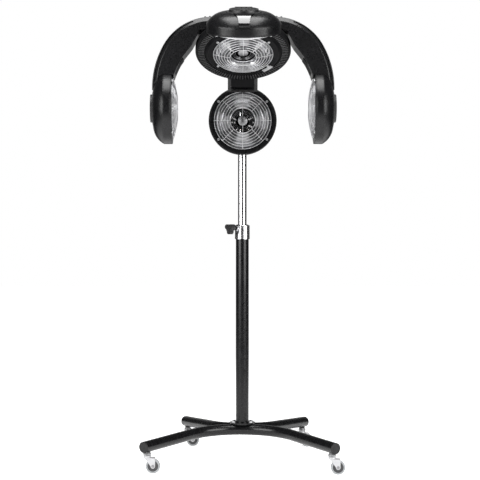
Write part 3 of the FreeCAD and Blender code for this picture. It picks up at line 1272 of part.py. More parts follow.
rear_points = arm_points(S.rear_reach, S.rear_drop)
rear_inner = ray(rear_points[4:], S.arm_shoulder - S.arm_depth)
rear_end_x = rear_points[4] + 8
rear_root = [
    (rear_inner[0] - 26, rear_inner[1] + 28), (rear_end_x, rear_inner[1] + 28),
    (rear_end_x, rear_points[5] + S.arm_shoulder * 0.999),
]
rear_full = arm_shell("rear_arm", S.rear_reach, S.rear_drop, rear_root, rear_inner[0] - 26, rear_inner[1] + 28)
TURN_BACK = at(0, HEAD_Y, 0, Z_AXIS, 90)
rear_turned = put(group("rear_arm_turned", rear_full), TURN_BACK)
rear_pod = put(pod_envelope("rear_pod_space", S.seat_gap), POD_PLACES["rear"])
lug_low = tilt_axis - S.lug_height / 2
lug_start = rear_points[0] - S.head_reach - S.arm_wall - 22
lug_gap = S.seat_gap
lug_slot = box("lug_slot", -lug_half - lug_gap, lug_start - 1, lug_low - lug_gap, S.lug_width + lug_gap * 2,
               60, S.lug_height + lug_gap * 2)
rear_cuts = fused("rear_arm_cuts", rear_pod, crown_solid("crown_space", S.seat_gap), lug_slot)
node("rear_arm_shell", cut("rear_arm_part", rear_turned, rear_cuts))
rear_cover = put(group("rear_cover_turned", arm_cover("rear_cover", S.rear_reach, S.rear_drop)), TURN_BACK)
node("rear_arm_cover", cut("rear_cover_part", rear_cover, rear_pod))

lug_bar = box("lug_bar", -lug_half, lug_start, lug_low, S.lug_width, -lug_start, S.lug_height)
lug_round = cylinder("lug_round", S.tilt_eye, S.lug_width, at(-lug_half, 0, tilt_axis, Y_AXIS, 90))
lug_bore = cylinder("lug_bore", S.tilt_bolt + S.running_fit, S.lug_width + 4,
                    at(-lug_half - 2, 0, tilt_axis, Y_AXIS, 90))
node("tilt_lug", cut("lug_part", fused("lug_block", lug_bar, lug_round), lug_bore))

# ---------------------------------------------------------------- front pod's link and grip
link_half = S.link_width / 2
front_y_face = HEAD_Y - S.front_reach
front_z_face = hub_height + S.front_rise
# a point of the front pod's own section, in the world's Y and Z
def front_point(along, back):
    return (front_y_face + along * cosine(S.front_tilt) - back * sine(S.front_tilt),
            front_z_face + along * sine(S.front_tilt) + back * cosine(S.front_tilt))


toe_low = front_point(S.pod_back + 6, S.pod_depth - 10)
toe_high = front_point(S.pod_back + 6, S.pod_depth + 8)
rim_point = front_point(S.pod_radius + 6, S.pod_depth * 0.45)
eye_r = S.flip_eye
link_outline = [
    (flip_y, flip_z - eye_r), (flip_y + eye_r, flip_z, eye_r, -1), (flip_y, flip_z + eye_r, eye_r, -1),
    toe_high, toe_low, rim_point,
]
link_full = padded("link_full", "YZ_Plane", link_outline, S.link_width)
link_slot = box("link_slot", -flip_half - S.seat_gap, flip_y - eye_r - 2, flip_z - eye_r - 30,
                S.flip_tongue + S.seat_gap * 2, eye_r * 2 + 12, eye_r * 2 + 60)
front_space = put(pod_envelope("front_pod_space", S.seat_gap), POD_PLACES["front"])
link_bore = cylinder("link_bore", S.flip_pin + S.running_fit, S.link_width - 4,
                     at(2 - link_half, flip_y, flip_z, Y_AXIS, 90))
node("front_pod_link", cut("link_part", link_full, fused("link_cuts", link_slot, front_space, link_bore)))

grip_gap = S.seat_gap
grip_low_x = -(S.pod_radius - 2)
grip_inner = S.pod_bend + grip_gap
grip_outer = grip_inner + S.grip_thickness
grip_rim_in = bend_at(S.pod_radius - 2, grip_inner)
grip_rim_out = bend_at(S.pod_radius - 2, grip_outer)
grip_start = -(S.pod_back + 3)
grip_band = padded("grip_band", "YZ_Plane", [
    (grip_start, bend_at(-grip_start, grip_inner)), (grip_low_x, grip_rim_in, grip_inner, -1),
    (grip_low_x, grip_rim_out), (grip_start, bend_at(-grip_start, grip_outer), grip_outer, 1),
], S.grip_top_width)
waist = -(S.pod_back + 32)
flare = waist + 14
flare_width = (S.grip_waist_width * 2 + S.grip_top_width) / 3
grip_plan = padded("grip_plan", "XY_Plane", [
    (-S.grip_top_width / 2, grip_start + 1), (-flare_width / 2, flare), (-S.grip_waist_width / 2, waist),
    (-S.grip_width / 2, grip_low_x - 5), (S.grip_width / 2, grip_low_x - 5), (S.grip_waist_width / 2, waist),
    (flare_width / 2, flare), (S.grip_top_width / 2, grip_start + 1),
], S.pod_depth * 4)
node("front_grip", put(common("grip_part", grip_band, grip_plan), POD_PLACES["front"]))

# ---------------------------------------------------------------- check and hand over
doc.recompute()
faulty = [thing.Name for thing in doc.Objects if {"Invalid", "Error"} & set(thing.State)]
if faulty:
    raise RuntimeError(f"failed objects: {faulty}")
for thing in nodes:
    if thing.Shape.isNull() or not thing.Shape.isValid() or not thing.Shape.Solids:
        raise RuntimeError(f"{thing.Label} has no sound shape")
for thing in nodes:
    thing.Shape.exportStep(f"parts/{thing.Label}.step")
print(len(nodes), "sub-parts written")
PIVOTS = {
    "mast": (Size.of(0), Size.of(0), mast_top), "tilt": (Size.of(0), Size.of(0), tilt_axis),
    "knuckle": (knuckle_x, HEAD_Y, knuckle_z), "flip": (Size.of(0), flip_y, flip_z),
    "hub": (Size.of(0), HEAD_Y, hub_height), "knob": (S.knob_stand, Size.of(0), knob_height),
    "timer": (-S.timer_offset, timer_face, dial_z), "rocker": (S.timer_offset, rocker_pivot_y, dial_z),
    "front_stem": (front_stem_x, front_stem_y, front_stem_z), "rear_stem": (rear_stem_x, rear_stem_y, rear_stem_z),
    "inlet": (Size.of(0), inlet_y, box_low - S.wall),
}
for name, point in PIVOTS.items():
    print(name, " ".join(f"{number.value:.3f}" for number in point))
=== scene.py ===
"""Visual model of a salon hair color processor on its castored stand.

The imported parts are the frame. This script gives every part its finish, adds the
small made detail that sits on them, and sets the floor, the lamps and the camera.
Lengths are in metres, in the frame of the parts: +Z up, the sitter faces -Y.
"""

import json
import logging
import math
from dataclasses import dataclass, field
from enum import Enum
from typing import Iterable, Protocol, Sequence

import bmesh
import bpy
from mathutils import Matrix, Vector


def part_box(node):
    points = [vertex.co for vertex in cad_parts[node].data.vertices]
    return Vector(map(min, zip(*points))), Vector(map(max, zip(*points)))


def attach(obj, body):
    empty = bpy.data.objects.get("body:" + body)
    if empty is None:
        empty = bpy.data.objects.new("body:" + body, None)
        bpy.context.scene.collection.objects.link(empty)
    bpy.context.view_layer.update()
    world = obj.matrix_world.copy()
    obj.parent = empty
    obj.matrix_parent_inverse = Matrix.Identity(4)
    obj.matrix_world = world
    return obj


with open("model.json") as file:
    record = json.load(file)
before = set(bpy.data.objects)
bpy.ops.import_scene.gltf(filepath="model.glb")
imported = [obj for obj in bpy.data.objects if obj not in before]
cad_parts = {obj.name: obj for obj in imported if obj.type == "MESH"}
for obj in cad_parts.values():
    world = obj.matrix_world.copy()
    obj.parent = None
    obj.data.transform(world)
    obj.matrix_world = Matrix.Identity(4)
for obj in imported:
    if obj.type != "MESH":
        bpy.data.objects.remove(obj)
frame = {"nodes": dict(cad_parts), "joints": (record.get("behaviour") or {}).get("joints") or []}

log = logging.getLogger("processor")

MM = 0.001

Colour = tuple[float, float, float]
Point = Sequence[float]
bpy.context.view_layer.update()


# ---------------------------------------------------------------- shader graphs
class Graph:
    """A material's node tree, with short ways to add and join its nodes."""

    def __init__(self, name: str) -> None:
        """Start a material with a plain surface shader.

        Args:
            name: the material's name.
        """
        self.material = bpy.data.materials.new(name)
        self.material.use_nodes = True
        self.tree = self.material.node_tree
        self.surface = self.tree.nodes["Principled BSDF"]
        self.place = self.add("ShaderNodeTexCoord").outputs["Object"]

    def add(self, kind: str, **settings: object) -> bpy.types.Node:
        """Add a node.

        Args:
            kind: the node's type name.
            settings: its properties.

        Returns:
            The new node.
        """
        node = self.tree.nodes.new(kind)
        for key, value in settings.items():
            setattr(node, key, value)
        return node

    def join(self, source: bpy.types.NodeSocket, target: bpy.types.NodeSocket) -> None:
        """Link an output to an input."""
        self.tree.links.new(source, target)

    def set(self, **values: object) -> None:
        """Set sockets of the surface shader.

        Args:
            values: socket names, with _ for a space, and their plain values.
        """
        for key, value in values.items():
            self.surface.inputs[key.replace("_", " ")].default_value = value

    def stretched(self, scale: Point) -> bpy.types.NodeSocket:
        """Object coordinates scaled along each axis, for brushed or drawn surfaces.

        Args:
            scale: the factor along each axis.

        Returns:
            The scaled coordinates.
        """
        mapping = self.add("ShaderNodeMapping")
        mapping.inputs["Scale"].default_value = scale
        self.join(self.place, mapping.inputs["Vector"])
        return mapping.outputs["Vector"]

    def noise(self, scale: float, detail: float = 3.0, place: bpy.types.NodeSocket | None = None,
              warp: float = 0.0) -> bpy.types.NodeSocket:
        """Fractal noise.

        Args:
            scale: features per metre.
            detail: octaves.
            place: coordinates, or None for the object's own.
            warp: distortion.

        Returns:
            The noise's value from 0 to 1.
        """
        node = self.add("ShaderNodeTexNoise")
        node.inputs["Scale"].default_value = scale
        node.inputs["Detail"].default_value = detail
        node.inputs["Distortion"].default_value = warp
        self.join(place or self.place, node.inputs["Vector"])
        return node.outputs["Fac"]

    def cells(self, scale: float, feature: str = "F1") -> bpy.types.NodeSocket:
        """Distance to scattered points, for dimples and grain.

        Args:
            scale: points per metre.
            feature: which distance is measured.

        Returns:
            The distance.
        """
        node = self.add("ShaderNodeTexVoronoi", feature=feature)
        node.inputs["Scale"].default_value = scale
        self.join(self.place, node.inputs["Vector"])
        return node.outputs["Distance"]

    def math(self, operation: str, first: bpy.types.NodeSocket,
             second: bpy.types.NodeSocket | float | None = None) -> bpy.types.NodeSocket:
        """Work out a value from one or two others.

        Args:
            operation: the name of the operation.
            first: the first value.
            second: a second value or a plain number, where the operation takes two.

        Returns:
            The result.
        """
        node = self.add("ShaderNodeMath", operation=operation)
        self.join(first, node.inputs[0])
        if isinstance(second, bpy.types.NodeSocket):
            self.join(second, node.inputs[1])
        elif second is not None:
            node.inputs[1].default_value = second
        return node.outputs["Value"]

    def span(self, source: bpy.types.NodeSocket, low: float, high: float,
             start: float = 0.35, end: float = 0.65) -> bpy.types.NodeSocket:
        """Map one range of a value to another.

        Args:
            source: the value.
            low: what the start becomes.
            high: what the end becomes.
            start: start of the value's range.
            end: end of the value's range.

        Returns:
            The mapped value.
        """
        node = self.add("ShaderNodeMapRange")
        for key, value in (("From Min", start), ("From Max", end), ("To Min", low), ("To Max", high)):
            node.inputs[key].default_value = value
        self.join(source, node.inputs["Value"])
        return node.outputs["Result"]

    def tint(self, source: bpy.types.NodeSocket, dark: Colour, light: Colour,
             start: float = 0.35, end: float = 0.65) -> bpy.types.NodeSocket:
        """Colour ramp between two colours.

        Args:
            source: the value that picks the colour.
            dark: the colour at the start.
            light: the colour at the end.
            start: the value at which the ramp starts.
            end: the value at which it ends.

        Returns:
            The colour.
        """
        node = self.add("ShaderNodeValToRGB")
        ramp = node.color_ramp
        ramp.elements[0].position = start
        ramp.elements[1].position = end
        ramp.elements[0].color = (*dark, 1)
        ramp.elements[1].color = (*light, 1)
        self.join(source, node.inputs["Fac"])
        return node.outputs["Color"]

    def bump(self, height: bpy.types.NodeSocket, depth: float, strength: float = 1.0,
             under: bpy.types.NodeSocket | None = None) -> bpy.types.NodeSocket:
        """Bump from a height, over another bump if one is given.

        Args:
            height: the height, from 0 to 1.
            depth: the depth of the full height.
            strength: share of the bump that shows.
            under: the normal below it.

        Returns:
            The bumped normal.
        """
        node = self.add("ShaderNodeBump")
        node.inputs["Distance"].default_value = depth
        node.inputs["Strength"].default_value = strength
        self.join(height, node.inputs["Height"])
        if under is not None:
            self.join(under, node.inputs["Normal"])
        return node.outputs["Normal"]

    def finish(self, colour: bpy.types.NodeSocket | None = None, rough: bpy.types.NodeSocket | None = None,
               normal: bpy.types.NodeSocket | None = None) -> bpy.types.Material:
        """Join what is given to the surface shader.

        Args:
            colour: the base colour.
            rough: the roughness.
            normal: the normal.

        Returns:
            The finished material.
        """
        for source, name in ((colour, "Base Color"), (rough, "Roughness"), (normal, "Normal")):
            if source is not None:
                self.join(source, self.surface.inputs[name])
        return self.material


def darker(colour: Colour, share: float) -> Colour:
    """The colour times a share."""
    return tuple(channel * share for channel in colour)


# ---------------------------------------------------------------- finishes
@dataclass(frozen=True)
class Finish:
    """A surface finish, built once and then shared."""

    name: str
    colour: Colour

    def build(self) -> bpy.types.Material:
        """Make the material."""
        raise NotImplementedError

    def material(self) -> bpy.types.Material:
        """The shared material, made at first use."""
        return bpy.data.materials.get(self.name) or self.build()


@dataclass(frozen=True)
class Moulded(Finish):
    """Moulded plastic: slight orange peel, uneven gloss, fine scuffs."""

    rough: float = 0.3
    spread: float = 0.06
    peel: float = 0.008 * MM
    peel_scale: float = 700.0
    coat: float = 0.0
    shine: float = 0.3
    soft: float = 3.0 * MM

    def build(self) -> bpy.types.Material:
        """Make the plastic."""
        graph = Graph(self.name)
        rounded = graph.add("ShaderNodeBevel", samples=6)
        rounded.inputs["Radius"].default_value = self.soft
        cloud = graph.noise(14.0, 4.0)
        scuff = graph.noise(160.0, 6.0, warp=0.6)
        colour = graph.tint(cloud, darker(self.colour, 0.78), darker(self.colour, 1.2))
        rough = graph.span(scuff, self.rough - self.spread, self.rough + self.spread)
        fine = graph.bump(graph.noise(self.peel_scale, 2.0), self.peel, under=rounded.outputs["Normal"])
        graph.set(Specular_IOR_Level=self.shine, Coat_Weight=self.coat, Coat_Roughness=0.08)
        return graph.finish(colour, rough, fine)


@dataclass(frozen=True)
class Grained(Finish):
    """Spark-eroded plastic with an even fine grain."""

    rough: float = 0.55
    grain: float = 0.06 * MM
    grain_scale: float = 1500.0

    def build(self) -> bpy.types.Material:
        """Make the grained plastic."""
        graph = Graph(self.name)
        pits = graph.cells(self.grain_scale)
        colour = graph.tint(graph.noise(40.0, 5.0), darker(self.colour, 0.75), darker(self.colour, 1.25))
        rough = graph.span(graph.noise(220.0), self.rough - 0.07, self.rough + 0.09)
        return graph.finish(colour, rough, graph.bump(pits, self.grain, 0.6))


@dataclass(frozen=True)
class Enamel(Finish):
    """Baked enamel on steel tube: glossy, with a long low ripple."""

    rough: float = 0.26
    shine: float = 0.3

    def build(self) -> bpy.types.Material:
        """Make the enamel."""
        graph = Graph(self.name)
        colour = graph.tint(graph.noise(9.0), darker(self.colour, 0.8), darker(self.colour, 1.2))
        rough = graph.span(graph.noise(70.0, 5.0), self.rough - 0.04, self.rough + 0.06)
        ripple = graph.bump(graph.noise(40.0, 1.0), 0.03 * MM)
        peel = graph.bump(graph.noise(300.0, 2.0), 0.002 * MM, under=ripple)
        graph.set(Coat_Weight=0.12, Coat_Roughness=0.08, Specular_IOR_Level=self.shine)
        return graph.finish(colour, rough, peel)


@dataclass(frozen=True)
class Metal(Finish):
    """Bare or plated metal, with drawn streaks along one axis."""

    rough: float = 0.08
    spread: float = 0.04
    streaks: tuple[float, float, float] = (1.0, 1.0, 0.06)
    streak_scale: float = 700.0
    depth: float = 0.004 * MM

    def build(self) -> bpy.types.Material:
        """Make the metal."""
        graph = Graph(self.name)
        drawn = graph.noise(self.streak_scale, 3.0, graph.stretched(self.streaks))
        colour = graph.tint(graph.noise(30.0, 5.0), darker(self.colour, 0.88), self.colour)
        rough = graph.span(drawn, self.rough - self.spread, self.rough + self.spread)
        graph.set(Metallic=1.0)
        return graph.finish(colour, rough, graph.bump(drawn, self.depth))


@dataclass(frozen=True)
class SpunMirrorPaintedLight(Finish):
    """Bright spun and dimpled aluminium of a lamp bowl, with its axis on the object's Z, and painted
    reflection sectors and painted ring bands of light and shade in its colour.
    """

    dimple_scale: float = 75.0
    dimple: float = 0.1 * MM
    wave: float = 0.5 * MM
    # The pitch and the settings from sectors on, all but metal_share, shape the painted reflection sectors
    # and painted ring bands of light and shade in the colour.
    pitch: float = 10.5 * MM
    sectors: int = 4
    metal_share: float = 0.4
    painted_sector_dark: float = 0.08
    painted_band_dark: float = 0.6
    painted_shade_tint: float = 0.14

    def across(self, graph: Graph) -> tuple[bpy.types.NodeSocket, bpy.types.NodeSocket]:
        """Painted reflection sectors and painted ring bands of light and shade.

        Args:
            graph: the material's graph.

        Returns:
            A value that waves with the angle round the axis and one with the distance from it.
        """
        parts = graph.add("ShaderNodeSeparateXYZ")
        graph.join(graph.place, parts.inputs["Vector"])
        angle = graph.math("ARCTAN2", parts.outputs["Y"], parts.outputs["X"])
        flat = graph.add("ShaderNodeVectorMath", operation="MULTIPLY")
        flat.inputs[1].default_value = (1, 1, 0)
        graph.join(graph.place, flat.inputs[0])
        reach = graph.add("ShaderNodeVectorMath", operation="LENGTH")
        graph.join(flat.outputs["Vector"], reach.inputs[0])
        # Painted reflection: bright where the lamps would show in the bowl, four times round.
        painted_reflection_fans = graph.math("COSINE", graph.math("MULTIPLY", angle, float(self.sectors)))
        # Painted ring bands of light and shade, at the pitch.
        rings = graph.math("COSINE", graph.math("MULTIPLY", reach.outputs["Value"], math.tau / self.pitch))
        return painted_reflection_fans, rings

    def build(self) -> bpy.types.Material:
        """Make the bowl's mirror."""
        graph = Graph(self.name)
        painted_reflection_fans, rings = self.across(graph)
        wave = graph.bump(graph.noise(26.0, 2.0, warp=0.8), self.wave)
        dimples = graph.bump(graph.cells(self.dimple_scale, "SMOOTH_F1"), self.dimple, 0.55, under=wave)
        cloud = graph.span(graph.noise(45.0, 3.0), -0.5, 0.5)
        # fan: painted reflection sectors, broken up by the cloud; ring: painted dark bands between bright
        # rings.
        fan = graph.span(graph.math("ADD", painted_reflection_fans, cloud), self.painted_sector_dark, 1.0, -0.45, 0.45)
        ring = graph.span(rings, self.painted_band_dark, 1.0, -1.0, -0.5)
        share = graph.math("MULTIPLY", fan, ring)
        # Where the painted light is low the colour goes dark: painted shade and painted reflection in the
        # base colour.
        colour = graph.tint(share, darker(self.colour, self.painted_shade_tint), self.colour, 0.0, 1.0)
        rough = graph.span(graph.noise(160.0, 3.0), 0.06, 0.14)
        graph.set(Metallic=self.metal_share)
        return graph.finish(colour, rough, dimples)


@dataclass(frozen=True)
class Quartz(Finish):
    """Milky quartz tube of a heater."""

    def build(self) -> bpy.types.Material:
        """Make the quartz."""
        graph = Graph(self.name)
        cloud = graph.noise(130.0, 4.0)
        colour = graph.tint(cloud, darker(self.colour, 0.85), self.colour)
        graph.set(Transmission_Weight=0.93, IOR=1.25)
        return graph.finish(colour, graph.span(cloud, 0.08, 0.25), graph.bump(cloud, 0.05 * MM))


@dataclass(frozen=True)
class Tread(Finish):
    """Grey non-marking wheel rubber with dust in its grain."""

    def build(self) -> bpy.types.Material:
        """Make the rubber."""
        graph = Graph(self.name)
        dust = graph.noise(120.0, 6.0)
        colour = graph.tint(dust, darker(self.colour, 0.7), darker(self.colour, 1.25), 0.3, 0.75)
        return graph.finish(colour, graph.span(dust, 0.5, 0.75), graph.bump(graph.noise(900.0), 0.08 * MM))


class Paint(Enum):
    """Every finish of the processor."""

    SHELL = Moulded("shell_black", (0.0035, 0.0035, 0.004), spread=0.04, shine=0.34, soft=9.0 * MM)
    ARM = Moulded("arm_black", (0.0045, 0.0045, 0.005), spread=0.04, shine=0.46, soft=4.0 * MM)
    PIANO = Moulded("piano_black", (0.005, 0.005, 0.0055), rough=0.08, spread=0.02, peel=0.003 * MM,
                    coat=1.0, shine=0.5)
    UNDER = Moulded("underside_black", (0.004, 0.004, 0.0045), rough=0.46, shine=0.08, soft=1.0 * MM)
    # The louvre ribs' black is painted lighter than the hub's other black: a painted highlight on the ribs.
    LOUVRE_PAINTED_HIGHLIGHT = Moulded("louvre_black_painted_highlight", (0.03, 0.03, 0.031), shine=0.7, soft=0.5 * MM)
    VENT = Grained("vent_black", (0.009, 0.009, 0.0095), rough=0.45, grain=0.03 * MM)
    KNOB = Grained("knob_black", (0.013, 0.013, 0.0135), rough=0.45)
    CAP = Grained("cap_black", (0.003, 0.003, 0.0035), rough=0.6)
    PANEL = Grained("panel_grey", (0.05, 0.05, 0.054), rough=0.4)
    ENAMEL = Enamel("tube_enamel", (0.0045, 0.0045, 0.005))
    CHROME = Metal("mast_chrome", (0.93, 0.93, 0.94), rough=0.13, spread=0.02, depth=0.0001 * MM)
    COLLAR = Metal("collar_metal", (0.72, 0.72, 0.74), rough=0.24, spread=0.07, streaks=(0.2, 0.2, 3.0))
    ZINC = Metal("zinc_plate", (0.3, 0.305, 0.31), rough=0.28, spread=0.16, streaks=(1, 1, 1),
                 streak_scale=240.0, depth=0.25 * MM)
    WIRE = Metal("guard_wire", (0.36, 0.36, 0.37), rough=0.16, spread=0.05, streaks=(1, 1, 1))
    # The bowl's colour holds painted reflection sectors and painted ring bands of light and shade.
    MIRROR = SpunMirrorPaintedLight("bowl_mirror_painted_light", (0.95, 0.95, 0.96))
    FLANGE = Metal("flange_metal", (0.16, 0.16, 0.17), rough=0.3, spread=0.08, streaks=(1, 1, 1),
                   streak_scale=300.0)
    CAST = Metal("cast_boss", (0.36, 0.36, 0.37), rough=0.34, spread=0.12, streaks=(1, 1, 1),
                 streak_scale=260.0, depth=0.6 * MM)
    HEATER = Quartz("heater_quartz", (0.86, 0.86, 0.88))
    TREAD = Tread("wheel_tread", (0.012, 0.0125, 0.013))
    RIM = Grained("rim_grey", (0.05, 0.05, 0.052), rough=0.45, grain=0.02 * MM)
    PLATE = Grained("blank_plate", (0.5, 0.5, 0.51), rough=0.35, grain=0.01 * MM)
    PRINT = Grained("print_white", (0.72, 0.72, 0.72), rough=0.5)

    def material(self) -> bpy.types.Material:
        """The finish's shared material."""
        return self.value.material()


def dress(paint: Paint, *names: str) -> None:
    """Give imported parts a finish.

    Args:
        paint: the finish.
        names: the parts' node names.
    """
    for name in names:
        mesh = frame["nodes"][name].data
        mesh.materials.clear()
        mesh.materials.append(paint.material())


# ---------------------------------------------------------------- making meshes
def joint(name: str) -> dict:
    """The named joint of the frame."""
    return next(entry for entry in frame["joints"] if entry["name"] == name)


@dataclass(frozen=True)
class Seat:
    """A place with an axis: local Z is the axis, local X lies across it."""

    origin: Vector
    axis: Vector
    across: Vector

    @classmethod
    def of_joint(cls, name: str, across: Point = (1, 0, 0)) -> "Seat":
        """The seat of a hinge.

        Args:
            name: the joint's name.
            across: a direction that local X should lie near.

        Returns:
            The seat at the joint's point, along its axis.
        """
        entry = joint(name)
        axis = Vector(entry["axis"]).normalized()
        near = Vector(across)
        flat = near - axis * near.dot(axis)
        if flat.length < 0.1:
            flat = Vector((0, 1, 0)) - axis * axis.y
        return cls(Vector(entry["pos_m"]), axis, flat.normalized())

    def matrix(self) -> Matrix:
        """Local to frame coordinates."""
        side = self.axis.cross(self.across)
        turn = Matrix((self.across, side, self.axis)).transposed().to_4x4()
        return Matrix.Translation(self.origin) @ turn


def spin(angle: float, distance: float = 0.0, height: float = 0.0) -> Matrix:
    """Turn by an angle in degrees about Z, then out along X and up along Z."""
    return Matrix.Rotation(math.radians(angle), 4, "Z") @ Matrix.Translation((distance, 0, height))


class Shape:
    """A mesh put together from simple made forms, in one object."""

    TOUCHING = 1e-7
    SHARP_ANGLE = 38.0

    def __init__(self, name: str) -> None:
        """Start an empty shape.

        Args:
            name: the piece's name.
        """
        self.name = name
        self.mesh = bmesh.new()

    def _moved(self, verts: Iterable[bmesh.types.BMVert], place: Matrix) -> None:
        """Move some corners of the mesh."""
        bmesh.ops.transform(self.mesh, matrix=place, verts=list(verts))

    def block(self, size: Point, place: Matrix) -> "Shape":
        """Add a block, centred on its place.

        Args:
            size: its lengths.
            place: where its middle stands, and how it is turned.

        Returns:
            The shape.
        """
        made = bmesh.ops.create_cube(self.mesh, size=1.0)["verts"]
        self._moved(made, place @ Matrix.Diagonal((*size, 1)))
        return self

    def turned(self, profile: Sequence[Point], place: Matrix, steps: int = 48) -> "Shape":
        """Add a form turned about Z.

        Args:
            profile: points of (radius, height), from one end to the other.
            place: where the axis stands.
            steps: sides of the turning.

        Returns:
            The shape.
        """
        rows = []
        for radius, height in profile:
            if radius < self.TOUCHING:
                rows.append([self.mesh.verts.new(place @ Vector((0, 0, height)))] * steps)
                continue
            rows.append([
                self.mesh.verts.new(place @ Vector((
                    radius * math.cos(math.tau * step / steps),
                    radius * math.sin(math.tau * step / steps), height)))
                for step in range(steps)
            ])
        for low, high in zip(rows, rows[1:]):
            for step in range(steps):
                after = (step + 1) % steps
                corners = []
                for vert in (low[step], low[after], high[after], high[step]):
                    if vert not in corners:
                        corners.append(vert)
                if len(corners) > 2:
                    self.mesh.faces.new(corners)
        return self

    def ring(self, radius: float, wire: float, place: Matrix, steps: int = 64, sides: int = 8) -> "Shape":
        """Add a ring of round wire about Z.

        Args:
            radius: radius of the ring's middle line.
            wire: radius of the wire.
            place: where the axis stands.
            steps: sides along the ring.
            sides: sides of the wire.

        Returns:
            The shape.
        """
        profile = [
            (radius + wire * math.cos(math.tau * side / sides), wire * math.sin(math.tau * side / sides))
            for side in range(sides + 1)
        ]
        return self.turned(profile, place, steps)

    def sector(self, profile: Sequence[Point], start: float, end: float, thickness: float,
               place: Matrix, steps: int = 12) -> "Shape":
        """Add a curved sheet turned part of the way about Z.

        Args:
            profile: points of (radius, height) across the sheet.
            start: first angle in degrees.
            end: last angle in degrees.
            thickness: the sheet's thickness, up the Z axis.
            place: where the axis stands.
            steps: pieces along the turning.

        Returns:
            The shape.
        """
        grids = []
        for lift in (0.0, thickness):
            grids.append([
                [
                    self.mesh.verts.new(place @ spin(start + (end - start) * step / steps) @
                                        Vector((radius, 0, height + lift)))
                    for radius, height in profile
                ]
                for step in range(steps + 1)
            ])
        low, high = grids
        wide = len(profile) - 1
        for step in range(steps):
            for lane in range(wide):
                for grid in grids:
                    self.mesh.faces.new((grid[step][lane], grid[step + 1][lane],
                                         grid[step + 1][lane + 1], grid[step][lane + 1]))
            for lane in (0, wide):
                self.mesh.faces.new((low[step][lane], low[step + 1][lane],
                                     high[step + 1][lane], high[step][lane]))
        for step in (0, steps):
            for lane in range(wide):
                self.mesh.faces.new((low[step][lane], low[step][lane + 1],
                                     high[step][lane + 1], high[step][lane]))
        return self

    def made(self, body: str, paint: Paint, slot: str, bevel: float = 0.0, smooth: bool = True,
             place: Matrix | None = None) -> bpy.types.Object:
        """Close the shape into an object that rides on a body.

        Args:
            body: the body it moves with.
            paint: its finish.
            slot: the record's material slot, not used.
            bevel: width of the rounded edges, 0 for none.
            smooth: shade smooth by angle.
            place: where the object's own frame stands, or None for the common frame.

        Returns:
            The new object.
        """
        bmesh.ops.remove_doubles(self.mesh, verts=self.mesh.verts, dist=self.TOUCHING)
        bmesh.ops.recalc_face_normals(self.mesh, faces=self.mesh.faces)
        data = bpy.data.meshes.new(self.name)
        self.mesh.to_mesh(data)
        self.mesh.free()
        data.materials.append(paint.material())
        thing = bpy.data.objects.new(self.name, data)
        bpy.context.scene.collection.objects.link(thing)
        if place is not None:
            thing.matrix_world = place
        if bevel > 0:
            edge = thing.modifiers.new("rounded_edges", "BEVEL")
            edge.width = bevel
            edge.segments = 2
            edge.limit_method = "ANGLE"
            edge.harden_normals = False
        if smooth:
            for face in data.polygons:
                face.use_smooth = True
            data.set_sharp_from_angle(angle=math.radians(self.SHARP_ANGLE))
        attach(thing, body)
        log.info("made %s on %s", self.name, body)
        return thing


